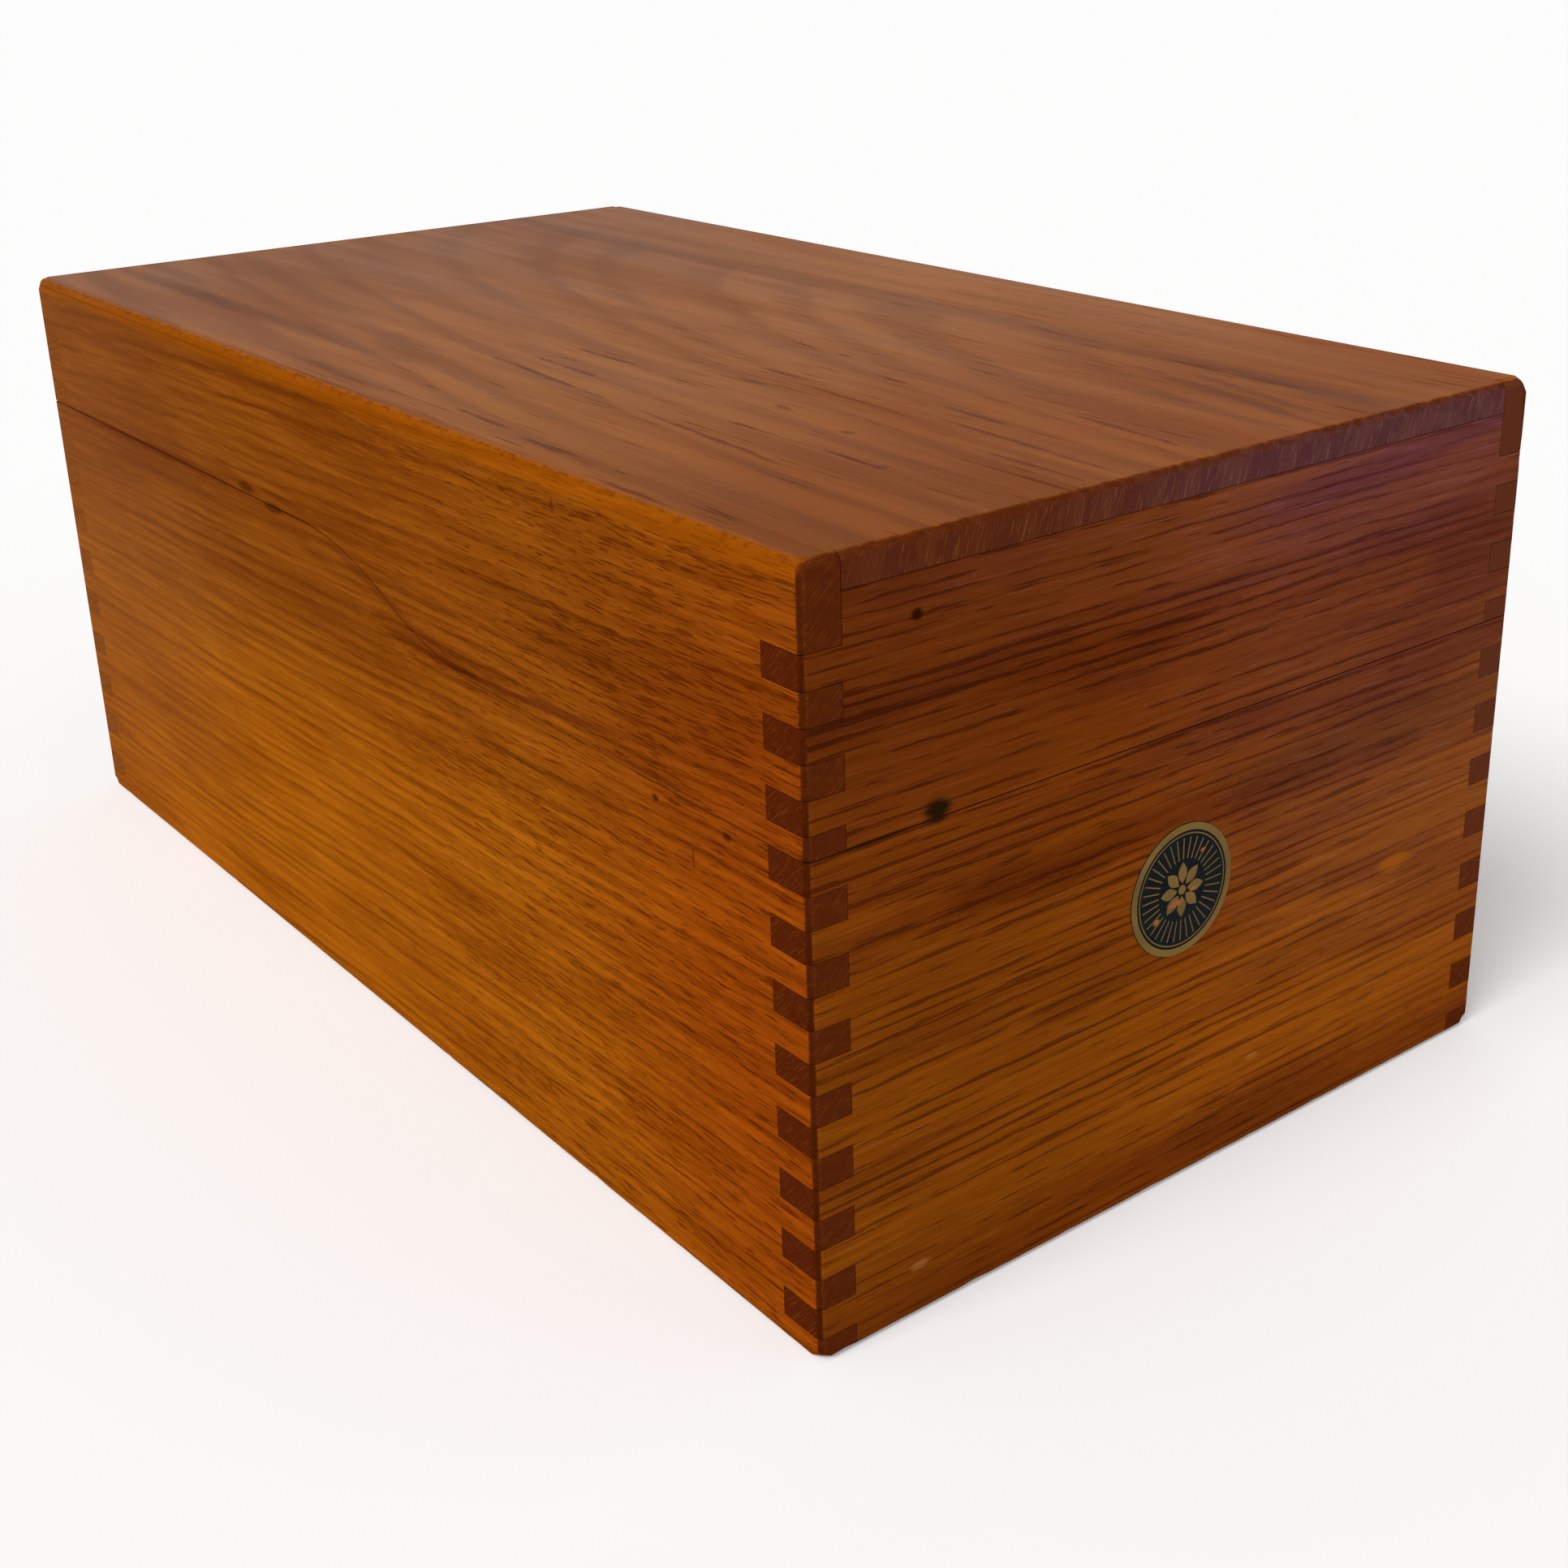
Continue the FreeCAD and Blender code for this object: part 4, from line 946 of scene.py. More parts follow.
MERGE_DISTANCE = 1e-6
FLAT_ANGLE = math.radians(0.5)
SMOOTH_ANGLE = math.radians(40.0)


def link_mesh(name: str, shape: bmesh.types.BMesh) -> bpy.types.Object:
    """Turn a finished shape into an object of the scene.

    Args:
        name: the piece's name.
        shape: its shape, which is freed.

    Returns:
        The new object.
    """
    mesh = bpy.data.meshes.new(name)
    shape.to_mesh(mesh)
    shape.free()
    piece = bpy.data.objects.new(name, mesh)
    bpy.context.scene.collection.objects.link(piece)
    return piece


def settle(piece: bpy.types.Object) -> bpy.types.Object:
    """Apply a piece's modifiers, so that it is a plain mesh.

    Args:
        piece: the object.

    Returns:
        The same object, with no modifiers.
    """
    graph = bpy.context.evaluated_depsgraph_get()
    graph.update()
    applied = bpy.data.meshes.new_from_object(piece.evaluated_get(graph))
    rough = piece.data
    piece.modifiers.clear()
    piece.data = applied
    bpy.data.meshes.remove(rough)
    applied.name = piece.name
    return piece


def smooth(piece: bpy.types.Object) -> bpy.types.Object:
    """Shade a piece smooth except at its sharp edges, with its flat faces kept flat.

    Args:
        piece: the object.

    Returns:
        The same object.
    """
    piece.data.shade_smooth()
    piece.data.set_sharp_from_angle(angle=SMOOTH_ANGLE)
    flat = piece.modifiers.new("flat faces", "WEIGHTED_NORMAL")
    flat.keep_sharp = True
    return settle(piece)


def cut(piece: bpy.types.Object, cutter: bpy.types.Object) -> bpy.types.Object:
    """Cut one shape out of another and drop the cutter.

    Args:
        piece: the object to cut.
        cutter: the object whose shape is taken out.

    Returns:
        The cut object.
    """
    slot = piece.modifiers.new("cut", "BOOLEAN")
    slot.object = cutter
    slot.operation = "DIFFERENCE"
    slot.solver = "EXACT"
    settle(piece)
    drop(cutter)
    return piece


def drop(piece: bpy.types.Object) -> None:
    """Delete an object that only helped to make another one."""
    mesh = piece.data
    bpy.data.objects.remove(piece)
    bpy.data.meshes.remove(mesh)


def mount(piece: bpy.types.Object, like: str, *nodes: str) -> None:
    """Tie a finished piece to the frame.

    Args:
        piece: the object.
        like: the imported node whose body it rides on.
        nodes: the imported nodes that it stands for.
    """
    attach(piece, BODIES[like])
    if nodes:
        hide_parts(*nodes)
    LOG.info("%s: %d faces on body %s", piece.name, len(piece.data.polygons), BODIES[like])


def dress_node(node: str, material: bpy.types.Material) -> None:
    """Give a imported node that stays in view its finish.

    Args:
        node: the node's name.
        material: its finish.
    """
    shown = frame["nodes"][node]
    for index in range(len(shown.material_slots)):
        shown.material_slots[index].material = material
    if not shown.material_slots:
        shown.data.materials.append(material)
    LOG.info("%s: packed shape in %s", node, material.name)


def merged_copy(node: str) -> bmesh.types.BMesh:
    """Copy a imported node's mesh as a closed shape with whole flat faces.

    Args:
        node: the node's name.

    Returns:
        The new shape.
    """
    shape = bmesh.new()
    shape.from_mesh(frame["nodes"][node].data)
    bmesh.ops.remove_doubles(shape, verts=shape.verts[:], dist=MERGE_DISTANCE)
    bmesh.ops.dissolve_limit(shape, angle_limit=FLAT_ANGLE, verts=shape.verts[:], edges=shape.edges[:])
    return shape


def islands(node: str) -> list[tuple[Vector, Vector]]:
    """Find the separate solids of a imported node.

    Args:
        node: the node's name.

    Returns:
        The lowest and the highest corner of each solid.
    """
    shape = merged_copy(node)
    left = set(shape.verts)
    boxes = []
    while left:
        reached = [left.pop()]
        for vert in reached:
            for edge in vert.link_edges:
                other = edge.other_vert(vert)
                if other in left:
                    left.remove(other)
                    reached.append(other)
        places = [vert.co for vert in reached]
        low = Vector(min(place[axis] for place in places) for axis in range(3))
        high = Vector(max(place[axis] for place in places) for axis in range(3))
        boxes.append((low, high))
    shape.free()
    return sorted(boxes, key=lambda box: tuple(box[0]))


def turned(profile: Sequence[Pair], segments: int, closed: bool = False) -> bmesh.types.BMesh:
    """Turn a profile about the Z axis.

    Args:
        profile: pairs of a radius and a height.
        segments: the number of steps round the axis.
        closed: whether the last point joins the first one.

    Returns:
        The turned shape.
    """
    shape = bmesh.new()
    rings = []
    for radius, height in profile:
        count = segments if radius > TINY * MM else 1
        angles = [2 * math.pi * step / segments for step in range(count)]
        rings.append([shape.verts.new((radius * math.cos(a), radius * math.sin(a), height)) for a in angles])
    pairs = list(zip(rings, rings[1:]))
    if closed:
        pairs.append((rings[-1], rings[0]))
    for first, second in pairs:
        for step in range(segments):
            ahead = (step + 1) % segments
            corners = [first[step % len(first)], first[ahead % len(first)]]
            corners += [second[ahead % len(second)], second[step % len(second)]]
            shape.faces.new(dict.fromkeys(corners))
    bmesh.ops.recalc_face_normals(shape, faces=shape.faces[:])
    return shape


def block(low: Sequence[float], high: Sequence[float]) -> bmesh.types.BMesh:
    """Make a plain block.

    Args:
        low: its lowest corner.
        high: its highest corner.

    Returns:
        The block's shape.
    """
    shape = bmesh.new()
    bmesh.ops.create_cube(shape, size=1.0)
    for vert in shape.verts:
        vert.co = Vector(high[axis] if vert.co[axis] > 0 else low[axis] for axis in range(3))
    return shape


# Repeated shapes

class MeshRule:
    """A geometry node tree that repeats a shape. It ends in one plain mesh."""

    name: str = ""
    takes: Mapping[str, str] = {}

    def tree(self) -> bpy.types.NodeTree:
        """Find the tree, or build it.

        Returns:
            The geometry node tree.
        """
        found = bpy.data.node_groups.get(self.name)
        if found:
            return found
        tree = bpy.data.node_groups.new(self.name, "GeometryNodeTree")
        for label, kind in {"Places": "Geometry", **self.takes, "Finish": "Material"}.items():
            tree.interface.new_socket(label, in_out="INPUT", socket_type=f"NodeSocket{kind}")
        tree.interface.new_socket("Pieces", in_out="OUTPUT", socket_type="NodeSocketGeometry")
        graph = Graph(tree)
        entry = graph.add("NodeGroupInput").outputs
        whole = graph.add("GeometryNodeRealizeInstances", {"Geometry": self.wire(graph, entry)})
        done = graph.add("GeometryNodeSetMaterial", {
            "Geometry": whole.outputs["Geometry"], "Material": entry["Finish"]})
        graph.add("NodeGroupOutput", {"Pieces": done.outputs["Geometry"]})
        return tree

    def wire(self, graph: Graph, given: bpy.types.NodeOutputs) -> Socket:
        """Add the tree's own nodes.

        Args:
            graph: the tree.
            given: its inputs.

        Returns:
            The instances.
        """
        raise NotImplementedError

    def grow(self, name: str, places: Sequence[Vector], feeds: Mapping[str, Feed]) -> bpy.types.Object:
        """Make a piece by this rule.

        Args:
            name: the piece's name.
            places: the points that the rule starts from.
            feeds: the values of the rule's inputs.

        Returns:
            The piece, as a plain mesh.
        """
        shape = bmesh.new()
        for place in places:
            shape.verts.new(place)
        piece = link_mesh(name, shape)
        tree = self.tree()
        rule = piece.modifiers.new(self.name, "NODES")
        rule.node_group = tree
        for socket in tree.interface.items_tree:
            if socket.in_out == "INPUT" and socket.name in feeds:
                rule[socket.identifier] = feeds[socket.name]
        return settle(piece)


class FastenerRows(MeshRule):
    """One fastener at each place, its slot turned at random."""

    name = "fastener_rows"
    takes = {"Fastener": "Object", "Aim": "Vector", "Seed": "Int"}

    def wire(self, graph: Graph, given: bpy.types.NodeOutputs) -> Socket:
        """Add the tree's own nodes."""
        shape = graph.add("GeometryNodeObjectInfo", {"Object": given["Fastener"]}).outputs["Geometry"]
        aim = graph.add("FunctionNodeEulerToRotation", {"Euler": given["Aim"]}).outputs["Rotation"]
        rows = graph.add("GeometryNodeInstanceOnPoints", {
            "Points": given["Places"], "Instance": shape, "Rotation": aim}).outputs["Instances"]
        spin = graph.add("FunctionNodeRandomValue", {2: 0.0, 3: math.pi, "Seed": given["Seed"]}).outputs[1]
        turn = graph.add("FunctionNodeEulerToRotation", {"Euler": graph.joined(0.0, 0.0, spin)})
        spun = graph.add("GeometryNodeRotateInstances", {
            "Instances": rows, "Rotation": turn.outputs["Rotation"], "Local Space": True})
        return spun.outputs["Instances"]


class SpokeRing(MeshRule):
    """One spoke after another round a centre, in the plane of the box's front."""

    name = "spoke_ring"
    takes = {"Spoke": "Object", "Count": "Int", "Centre": "Vector"}

    def wire(self, graph: Graph, given: bpy.types.NodeOutputs) -> Socket:
        """Add the tree's own nodes."""
        shape = graph.add("GeometryNodeObjectInfo", {"Object": given["Spoke"]}).outputs["Geometry"]
        points = graph.add("GeometryNodePoints", {"Count": given["Count"], "Position": given["Centre"]})
        number = graph.add("GeometryNodeInputIndex").outputs["Index"]
        share = graph.math("DIVIDE", number, given["Count"])
        angle = graph.joined(0.0, graph.math("MULTIPLY", share, 2 * math.pi), 0.0)
        turn = graph.add("FunctionNodeEulerToRotation", {"Euler": angle}).outputs["Rotation"]
        return graph.add("GeometryNodeInstanceOnPoints", {
            "Points": points.outputs["Points"], "Instance": shape, "Rotation": turn}).outputs["Instances"]


# Boards of base and lid

class Coat(IntEnum):
    """The finishes of a board, in the order of its material slots."""

    OWN = 0
    JOINT = 1
    TOP = 2


@dataclass
class Carcass:
    """The glued boards of base and lid, with knocked arrises and a dark line at each joint and at the parting
    line; at the parting line the dark is painted shade of the gap.
    """

    shell: Shell
    arris: float = 1.5 * MM
    step: float = 1.5 * MM
    joint_ease: float = 0.07 * MM
    tight_ease: float = 0.03 * MM
    top_slope: float = 0.8
    rub: float = 0.12 * MM
    knock: float = 0.75 * MM
    knock_size: float = 6.0 * MM
    knock_start: float = 0.32
    ripple_scale: float = 2.3
    crown_share: float = 0.25
    corner_radius: float = 2.6 * MM
    rim_drop: float = 0.2 * MM
    rim_reach: float = 2.0 * MM
    sharp_angle: float = 50.0
    seed_shift: Triple = (7.0, 3.0, 5.0)

    def build(self) -> None:
        """Model the boards of the sides, the ends and the top, and dress them and the bottom."""
        woods = {
            "oak_sides": SIDE_OAK.material(self.shell),
            "oak_ends": END_OAK.material(self.shell),
            "oak_top": TOP_OAK.material(self.shell),
        }
        joint = JOINT_GRIME_AND_GAP_SHADE.material()
        back = BACK_OAK.material(self.shell)
        for node, slot in SLOTS.items():
            if slot in woods:
                own = back if node.endswith("back") else woods[slot]
                self._board(node, (own, joint, woods["oak_top"]))
        dress_node("base_bottom", BOTTOM_OAK.material(self.shell))

    def _board(self, node: str, materials: Sequence[bpy.types.Material]) -> None:
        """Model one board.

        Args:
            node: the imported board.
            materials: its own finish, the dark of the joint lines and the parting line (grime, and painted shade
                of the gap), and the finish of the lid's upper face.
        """
        shape = merged_copy(node)
        if BODIES[node] == "lid":
            self._close_rim(shape)
        self._divide_arrises(shape)
        self._knock(shape)
        self._round_corners(shape)
        self._ease_joints(shape)
        self._find_top(shape)
        piece = link_mesh(f"worn_{node}", shape)
        for material in materials:
            piece.data.materials.append(material)
        mount(smooth(piece), node, node)

    def _find_top(self, shape: bmesh.types.BMesh) -> None:
        """Give the faces on top of the lid the finish that they share."""
        shape.normal_update()
        low = self.shell.middle[2] + self.shell.half[2] - self.arris
        for face in shape.faces:
            high = face.calc_center_median().z > low
            if high and face.normal.z > self.top_slope and face.material_index == Coat.OWN:
                face.material_index = Coat.TOP

    def _close_rim(self, shape: bmesh.types.BMesh) -> None:
        """Let the lid's rim down at the front, where it sits tight on the base."""
        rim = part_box("lid_front")[0].z
        for vert in shape.verts:
            share = 1.0 - (vert.co.z - rim) / self.rim_reach
            vert.co.z -= self.rim_drop * max(0.0, share)

    def _divide_arrises(self, shape: bmesh.types.BMesh) -> None:
        """Divide the long edges of the rounded arrises, so that they can be knocked."""
        cuts: dict[int, list[bmesh.types.BMEdge]] = {}
        for edge in shape.edges:
            count = int(edge.calc_length() / self.step)
            if count and all(self.shell.gaps(vert.co)[1] < self.arris + TINY for vert in edge.verts):
                cuts.setdefault(count, []).append(edge)
        for count, edges in cuts.items():
            bmesh.ops.subdivide_edges(shape, edges=edges, cuts=count, use_grid_fill=True)

    def _knock(self, shape: bmesh.types.BMesh) -> None:
        """Push the crowns of the arrises in a little, more at a few knocks."""
        shape.normal_update()
        for vert in shape.verts:
            gaps = self.shell.gaps(vert.co)
            if gaps[0] < TINY or gaps[1] > self.arris - TINY:
                continue
            place = vert.co / self.knock_size
            dent = max(0.0, noise.noise(place) - self.knock_start)
            ripple = 0.5 + 0.5 * noise.noise(place * self.ripple_scale + Vector(self.seed_shift))
            share = min(1.0, gaps[0] / (self.crown_share * self.arris))
            vert.co -= vert.normal * (self.rub * ripple + self.knock * dent) * share

    def _round_corners(self, shape: bmesh.types.BMesh) -> None:
        """Rub the corners of the box to parts of a ball."""
        middle = Vector(self.shell.middle)
        inner = [half - self.corner_radius for half in self.shell.half]
        for vert in shape.verts:
            off = vert.co - middle
            if any(abs(off[axis]) < inner[axis] for axis in range(3)):
                continue
            centre = Vector(math.copysign(inner[axis], off[axis]) for axis in range(3))
            beyond = (off - centre).length
            if beyond > self.corner_radius:
                vert.co = middle + centre + (off - centre) * self.corner_radius / beyond

    def _ease_joints(self, shape: bmesh.types.BMesh) -> None:
        """Break the sharp edges that show on the outside, which leaves a dark line at each joint and along the
        rims at the parting line, where it is painted shade of the gap.
        """
        shape.normal_update()
        top = self.shell.middle[2] + self.shell.half[2] - TINY
        groups: dict[float, list[bmesh.types.BMEdge]] = {self.joint_ease: [], self.tight_ease: []}
        for edge in shape.edges:
            if not edge.is_manifold or edge.calc_face_angle() < math.radians(self.sharp_angle):
                continue
            if all(self.shell.gaps(vert.co)[0] < self.arris + TINY for vert in edge.verts):
                on_top = all(vert.co.z > top for vert in edge.verts)
                groups[self.tight_ease if on_top else self.joint_ease].append(edge)
        for width, edges in groups.items():
            alive = [edge for edge in edges if edge.is_valid]
            if alive:
                bmesh.ops.bevel(shape, geom=alive, offset=width, segments=1, affect="EDGES",
                                material=Coat.JOINT, clamp_overlap=True, profile=0.5)


# Transfer on the front

@dataclass
class Badge:
    """A round transfer: gold rim, dark field, fine rays and a plain rosette."""

    disc_height: float = 0.12 * MM
    line_height: float = 0.03 * MM
    disc_ease: float = 0.05 * MM
    rim_width: float = 1.4 * MM
    rim_inset: float = 0.1 * MM
    inner_ring: float = 11.0 * MM
    inner_ring_width: float = 0.25 * MM
    ray_start: float = 6.2 * MM
    ray_end: float = 10.4 * MM
    ray_width: float = 0.24 * MM
    ray_count: int = 36
    petal_start: float = 1.3 * MM
    petal_end: float = 5.6 * MM
    petal_width: float = 2.3 * MM
    petal_steps: int = 8
    petal_count: int = 8
    eye_radius: float = 0.95 * MM
    segments: int = 96
    ink: PlainFinish = PlainFinish(
        "badge_ink", (0.007, 0.010, 0.012), (0.010, 0.014, 0.015), 0.0, 0.4, (0.7, 0.7, 0.7), specular=0.015)
    gold: PlainFinish = PlainFinish(
        "badge_gold", (0.24, 0.142, 0.038), (0.16, 0.10, 0.032), 0.0, 0.42, (0.7, 0.7, 0.7), specular=0.015)
    chips: tuple[tuple[Pair, Pair], ...] = (
        ((-1.6, -2.4), (2.2, 0.9)), ((2.9, -0.6), (1.2, 0.7)),
        ((-6.4, -4.6), (1.0, 0.9)), ((5.2, 6.6), (0.8, 0.5)))
    chip_depth: float = 4.0
    chip_colour: Colour = (0.40, 0.14, 0.04)
    chip_strength: float = 0.95
    chip_ragged: float = 1.6
    node: str = "front_badge"
    centre: Vector = field(init=False)

    def build(self) -> None:
        """Model the badge and dress it."""
        low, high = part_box(self.node)
        radius = (high.x - low.x) / 2
        self.centre = Vector(((low.x + high.x) / 2, high.y, (low.z + high.z) / 2))
        ink, gold = self.dress()
        disc = self._round("badge_field", [
            (0.0, self.disc_height), (radius - self.disc_ease, self.disc_height),
            (radius, self.disc_height / 2), (radius, 0.0), (0.0, 0.0)], False, ink)
        mount(disc, self.node, self.node)
        outer = radius - self.rim_inset
        self._ring("badge_rim", outer - self.rim_width, outer, gold)
        self._ring("badge_inner_ring", self.inner_ring, self.inner_ring + self.inner_ring_width, gold)
        self._ring("badge_eye", 0.0, self.eye_radius, gold)
        self._spokes("badge_rays", self._ray(), self.ray_count, gold)
        self._spokes("badge_rosette", self._petal(), self.petal_count, gold)

    def dress(self) -> list[bpy.types.Material]:
        """Make the ink and the gold, both chipped at the same places.

        Returns:
            The field's and the gold's material.
        """
        x, y, z = self.centre / MM
        flakes = tuple(
            Mark((x + across, y, z + up), (wide, self.chip_depth, tall), self.chip_colour,
                 self.chip_strength, ragged=self.chip_ragged)
            for (across, up), (wide, tall) in self.chips)
        return [replace(finish, flakes=flakes).material() for finish in (self.ink, self.gold)]

    def _facing(self, shape: bmesh.types.BMesh, name: str, material: bpy.types.Material) -> bpy.types.Object:
        """Set a shape that looks up the Z axis on the front of the box."""
        turn = Matrix.Translation(self.centre) @ Matrix.Rotation(math.pi / 2, 4, "X")
        bmesh.ops.transform(shape, matrix=turn, verts=shape.verts[:])
        piece = link_mesh(name, shape)
        piece.data.materials.append(material)
        return smooth(piece)

    def _round(self, name: str, profile: Sequence[Pair], closed: bool,
               material: bpy.types.Material) -> bpy.types.Object:
        """A turned piece on the front of the box."""
        return self._facing(turned(profile, self.segments, closed), name, material)

    def _ring(self, name: str, inner: float, outer: float, material: bpy.types.Material) -> None:
        """A flat gold ring, or a dot where it has no inner radius."""
        foot = 0.5 * self.disc_height
        crown = self.disc_height + self.line_height
        profile = [(inner, crown), (outer, crown), (outer, foot), (inner, foot)]
        mount(self._round(name, profile, inner > 0, material), self.node)

    def _ray(self) -> bmesh.types.BMesh:
        """One thin ray, which points up."""
        crown = -self.disc_height - self.line_height
        half = self.ray_width / 2
        return block((-half, crown, self.ray_start), (half, crown / 2, self.ray_end))

    def _petal(self) -> bmesh.types.BMesh:
        """One petal of two arcs, which points up."""
        crown = -self.disc_height - self.line_height
        shape = bmesh.new()
        length = self.petal_end - self.petal_start
        edge = []
        for step in range(2 * self.petal_steps):
            share = step / self.petal_steps
            side = math.sin(math.pi * share) * self.petal_width / 2
            height = self.petal_start + length * (share if share <= 1 else 2 - share)
            edge.append(shape.verts.new((side, crown, height)))
        face = shape.faces.new(edge)
        deep = bmesh.ops.extrude_face_region(shape, geom=[face])["geom"]
        for vert in (part for part in deep if isinstance(part, bmesh.types.BMVert)):
            vert.co.y = crown / 2
        bmesh.ops.recalc_face_normals(shape, faces=shape.faces[:])
        return shape

    def _spokes(self, name: str, shape: bmesh.types.BMesh, count: int, material: bpy.types.Material) -> None:
        """Repeat a shape round the badge's centre."""
        spoke = link_mesh(f"{name}_spoke", shape)
        piece = SpokeRing().grow(name, (), {
            "Spoke": spoke, "Count": count, "Centre": self.centre, "Finish": material})
        drop(spoke)
        mount(piece, self.node)


# Fasteners

class Head(Enum):
    """The way that a fastener's head looks, as turns about X, Y and Z."""

    UP = (0.0, 0.0, 0.0)
    DOWN = (math.pi, 0.0, 0.0)
    BACK = (-math.pi / 2, 0.0, 0.0)


@dataclass
class Fasteners:
    """A node's screws or tacks, each with a turned head."""

    node: str
    head: Head
    finish: PlainFinish
    seed: int
    slotted: bool = True
    dome: float = 0.12
    dome_profile: tuple[Pair, ...] = ((0.0, 0.0), (0.6, -0.35), (0.95, -1.0), (1.0, -1.4))
    cone: float = 0.9
    neck: float = 0.55
    point: float = 0.85
    slot_width: float = 0.3
    slot_depth: float = 0.45
    slot_reach: float = 1.2
    segments: int = 24

    def build(self) -> None:
        """Model the row as one piece, which stands for the whole node."""
        boxes = islands(self.node)
        axis = 1 if self.head is Head.BACK else 2
        size = boxes[0][1] - boxes[0][0]
        pattern = self._pattern(size.x / 2, size[axis])
        places = [self._seat(low, high, axis) for low, high in boxes]
        piece = FastenerRows().grow(f"turned_{self.node}", places, {
            "Fastener": pattern, "Aim": self.head.value, "Seed": self.seed, "Finish": self.finish.material()})
        drop(pattern)
        mount(smooth(piece), self.node, self.node)

    def _seat(self, low: Vector, high: Vector, axis: int) -> Vector:
        """The middle of a head's outer face."""
        seat = (low + high) / 2
        seat[axis] = low[axis] if self.head is Head.DOWN else high[axis]
        return seat

    def _pattern(self, radius: float, length: float) -> bpy.types.Object:
        """One fastener with its head at the origin, looking up."""
        rise = self.dome * radius
        neck = self.neck * radius
        profile = [(wide * radius, high * rise) for wide, high in self.dome_profile]
        profile += [(neck, -self.cone * radius), (neck, -self.point * length), (0.0, -length)]
        pattern = link_mesh(f"{self.node}_pattern", turned(profile, self.segments))
        if not self.slotted:
            return pattern
        half = self.slot_width * radius / 2
        reach = self.slot_reach * radius
        return cut(pattern, link_mesh("slot", block(
            (-reach, -half, -self.slot_depth * radius), (reach, half, radius))))


@dataclass
class Hinges:
    """Two brass butt hinges with steel pins."""

    base_seed: int = 3
    lid_seed: int = 8

    def build(self) -> None:
        """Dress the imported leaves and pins, and model the screws."""
        brass = HINGE_BRASS.material()
        steel = PIN_STEEL.material()
        for node, slot in SLOTS.items():
            if slot == "hinge_brass":
                dress_node(node, brass)
            elif slot == "pin_steel" and "hinge" in node:
                dress_node(node, steel)
        Fasteners("hinge_base_screws", Head.UP, SCREW_BRASS, self.base_seed).build()
        Fasteners("hinge_lid_screws", Head.DOWN, SCREW_BRASS, self.lid_seed).build()


@dataclass
class Follower:
    """The block that the cards lean on, with its bracket, shoe and track."""

    shell: Shell
    ease: float = 1.2 * MM
    ease_segments: int = 3
    least_edge: float = 5.0 * MM
    sharp_angle: float = 50.0
    screw_seed: int = 5
    tack_seed: int = 1

    def build(self) -> None:
        """Model the block and the fasteners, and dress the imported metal."""
        steel = TRACK_STEEL.material()
        for node in ("follower_track", "follower_shoe", "follower_bracket"):
            dress_node(node, steel)
        dress_node("follower_pivot_pin", PIN_STEEL.material())
        self._block()
        Fasteners("bracket_screws", Head.BACK, SCREW_BRASS, self.screw_seed).build()
        Fasteners("track_tacks", Head.UP, TRACK_STEEL, self.tack_seed, slotted=False).build()

    def _block(self) -> None:
        """The oak block with eased edges."""
        shape = merged_copy("follower_block")
        edges = [
            edge for edge in shape.edges
            if edge.is_manifold and edge.calc_length() > self.least_edge
            and edge.calc_face_angle() > math.radians(self.sharp_angle)]
        bmesh.ops.bevel(shape, geom=edges, offset=self.ease, segments=self.ease_segments, affect="EDGES",
                        clamp_overlap=True, profile=0.5)
        piece = link_mesh("eased_follower_block", shape)
        piece.data.materials.append(BLOCK_OAK.material(self.shell))
        mount(smooth(piece), "follower_block", "follower_block")


# Stage

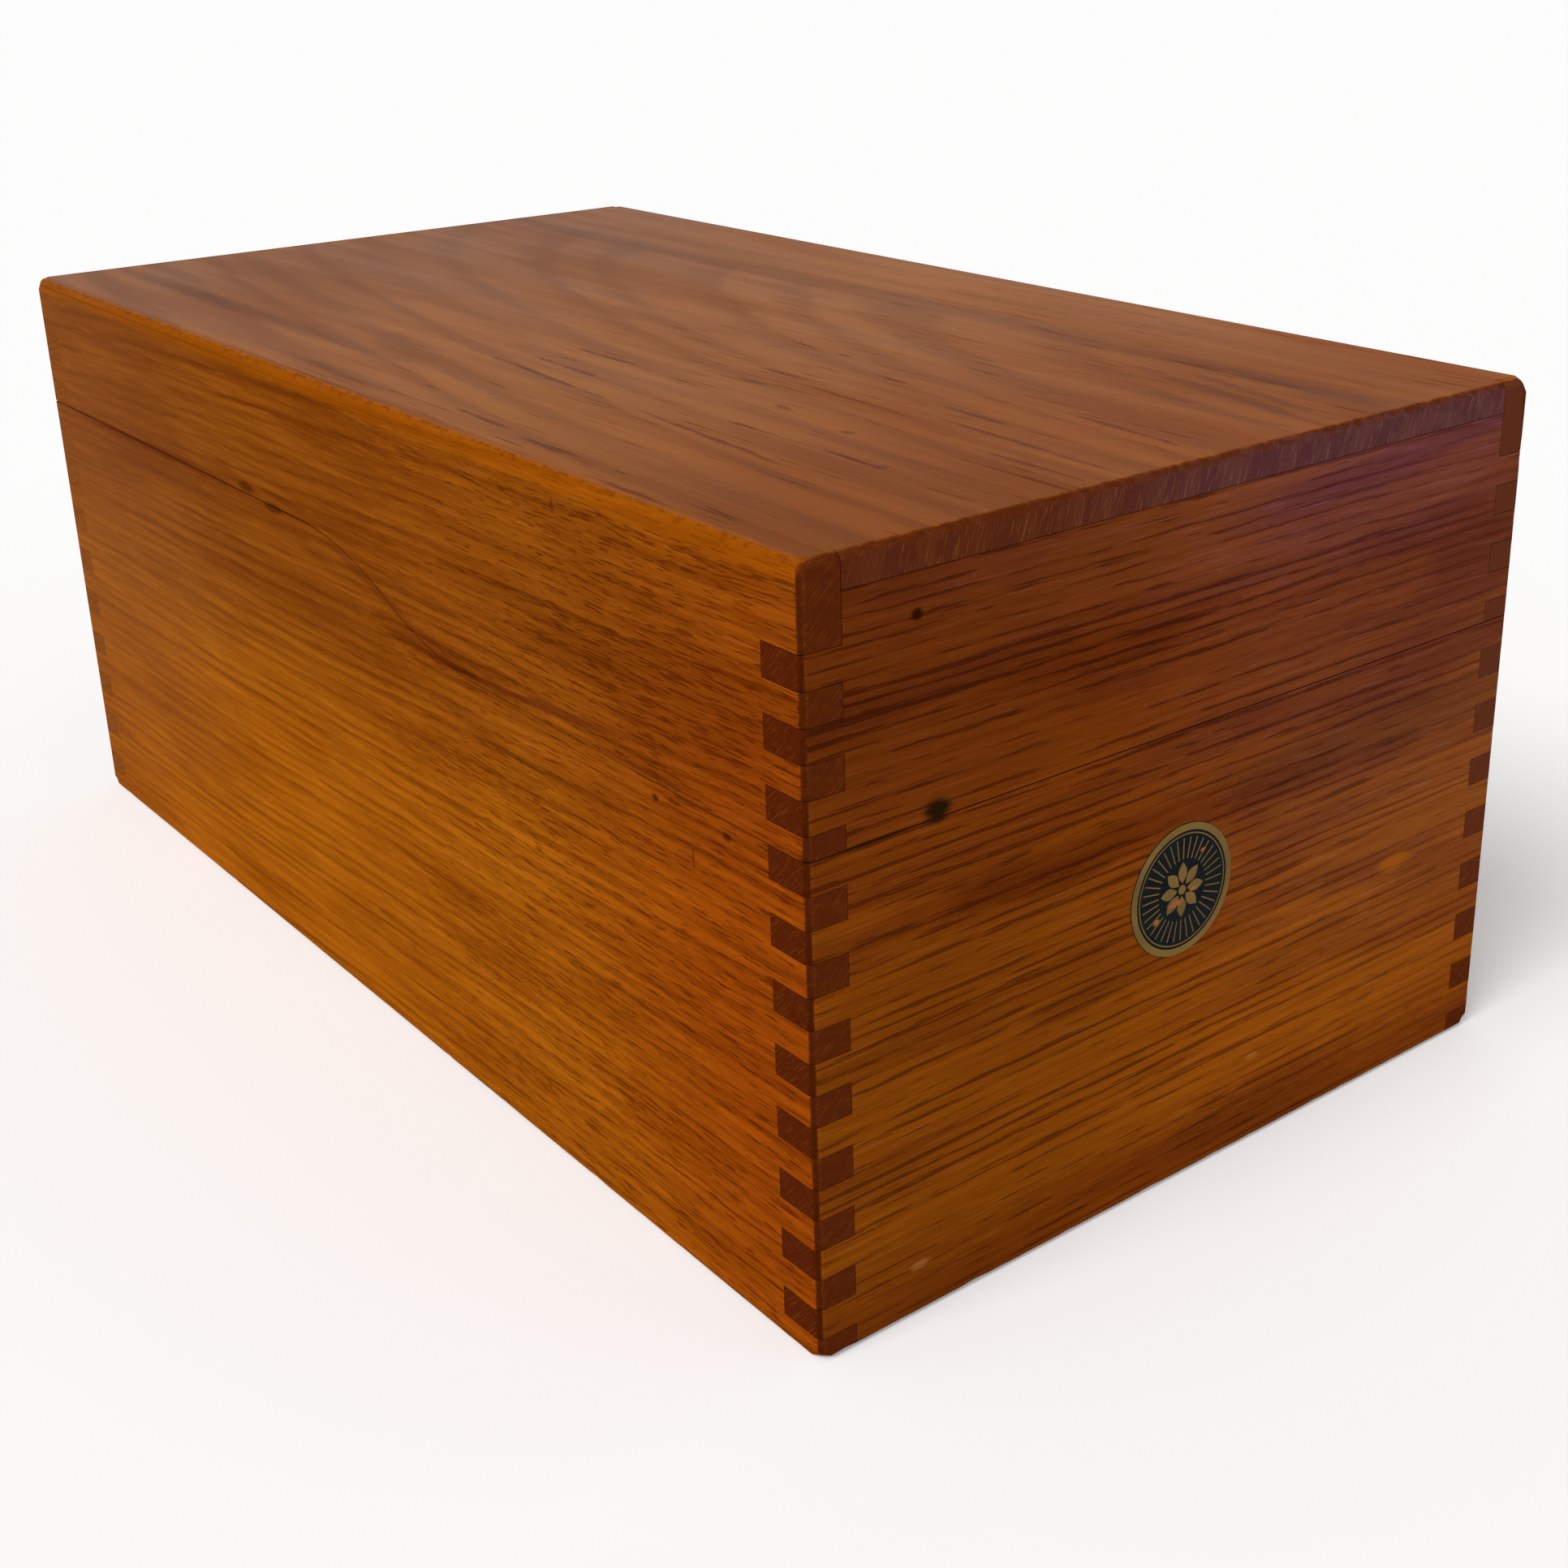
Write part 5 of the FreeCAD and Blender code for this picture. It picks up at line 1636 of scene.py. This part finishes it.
@dataclass(frozen=True)
class Studio:
    """Floor, light and the camera of the photograph."""

    floor_size: float = 60.0
    floor_colour: Colour = (0.86, 0.86, 0.855)
    floor_roughness: float = 0.9
    floor_glow: float = 0.22
    sun_strength: float = 2.05
    sun_angle: float = 32.0
    sun_from: Triple = (-0.62, -0.12, 0.78)
    sky_high: float = 0.34
    sky_low: float = 0.7
    sky_rim: float = 1.0
    rim_span: Pair = (0.0, 0.1)
    sky_span: Pair = (0.1, 0.5)
    camera_place: Triple = (-0.26636, -0.40251, 0.23778)
    camera_forward: Triple = (0.57415, 0.73416, -0.36244)
    camera_right: Triple = (0.78305, -0.62167, -0.01881)
    lens: float = 48.49
    sensor: float = 36.0
    shift: Pair = (-0.0422, -0.0553)
    clip_start: float = 0.01

    def build(self) -> None:
        """Set up the stage."""
        self._floor()
        self._sun()
        self._sky()
        self._camera()
        bpy.context.scene.view_settings.view_transform = "Standard"

    def _floor(self) -> None:
        """A plain pale floor under the box, which looks white where no shadow falls on it."""
        shape = bmesh.new()
        bmesh.ops.create_grid(shape, x_segments=1, y_segments=1, size=self.floor_size / 2)
        material = bpy.data.materials.new("studio_floor")
        material.use_nodes = True
        graph = Graph(material.node_tree)
        shader = material.node_tree.nodes["Principled BSDF"]
        shader.inputs["Base Color"].default_value = (*self.floor_colour, 1.0)
        shader.inputs["Roughness"].default_value = self.floor_roughness
        shader.inputs["Specular IOR Level"].default_value = 0.0
        rays = graph.add("ShaderNodeLightPath").outputs
        mirrored = graph.math("MAXIMUM", rays["Is Glossy Ray"], rays["Is Transmission Ray"])
        seen = graph.math("MAXIMUM", rays["Is Camera Ray"], mirrored)
        graph.feed(shader.inputs["Emission Color"], seen)
        shader.inputs["Emission Strength"].default_value = self.floor_glow
        floor = link_mesh("studio_floor", shape)
        floor.data.materials.append(material)

    def _sun(self) -> None:
        """One large soft lamp from the upper left."""
        lamp = bpy.data.lights.new("window", "SUN")
        lamp.energy = self.sun_strength
        lamp.angle = math.radians(self.sun_angle)
        holder = bpy.data.objects.new("window", lamp)
        holder.rotation_euler = Vector(self.sun_from).to_track_quat("Z", "Y").to_euler()
        bpy.context.scene.collection.objects.link(holder)

    def _sky(self) -> None:
        """A dim surround, paler near the horizon and white at its rim."""
        world = bpy.data.worlds.new("surround")
        world.use_nodes = True
        graph = Graph(world.node_tree)
        ways = graph.add("ShaderNodeTexCoord").outputs["Generated"]
        height = graph.parts(ways)["Z"]
        tone = graph.mix(graph.ramp(height, *self.rim_span), (self.sky_rim,) * 3, (self.sky_low,) * 3)
        tone = graph.mix(graph.ramp(height, *self.sky_span), tone, (self.sky_high,) * 3)
        graph.feed(world.node_tree.nodes["Background"].inputs["Color"], tone)
        bpy.context.scene.world = world

    def _camera(self) -> None:
        """The camera at the photograph's place."""
        data = bpy.data.cameras.new("photo_camera")
        data.lens = self.lens
        data.sensor_width = self.sensor
        data.shift_x, data.shift_y = self.shift
        data.clip_start = self.clip_start
        back = -Vector(self.camera_forward).normalized()
        right = Vector(self.camera_right).normalized()
        up = back.cross(right).normalized()
        turn = Matrix((right, up, back)).transposed().to_4x4()
        holder = bpy.data.objects.new("photo_camera", data)
        holder.matrix_world = Matrix.Translation(self.camera_place) @ turn
        bpy.context.scene.collection.objects.link(holder)
        bpy.context.scene.camera = holder


def main() -> None:
    """Build the box's looks, piece by piece."""
    logging.basicConfig(level=logging.INFO, format="%(name)s %(message)s")
    shell = Shell.from_frame()
    Studio().build()
    Carcass(shell).build()
    Badge().build()
    Hinges().build()
    Follower(shell).build()


if __name__ == "__main__":
    main()
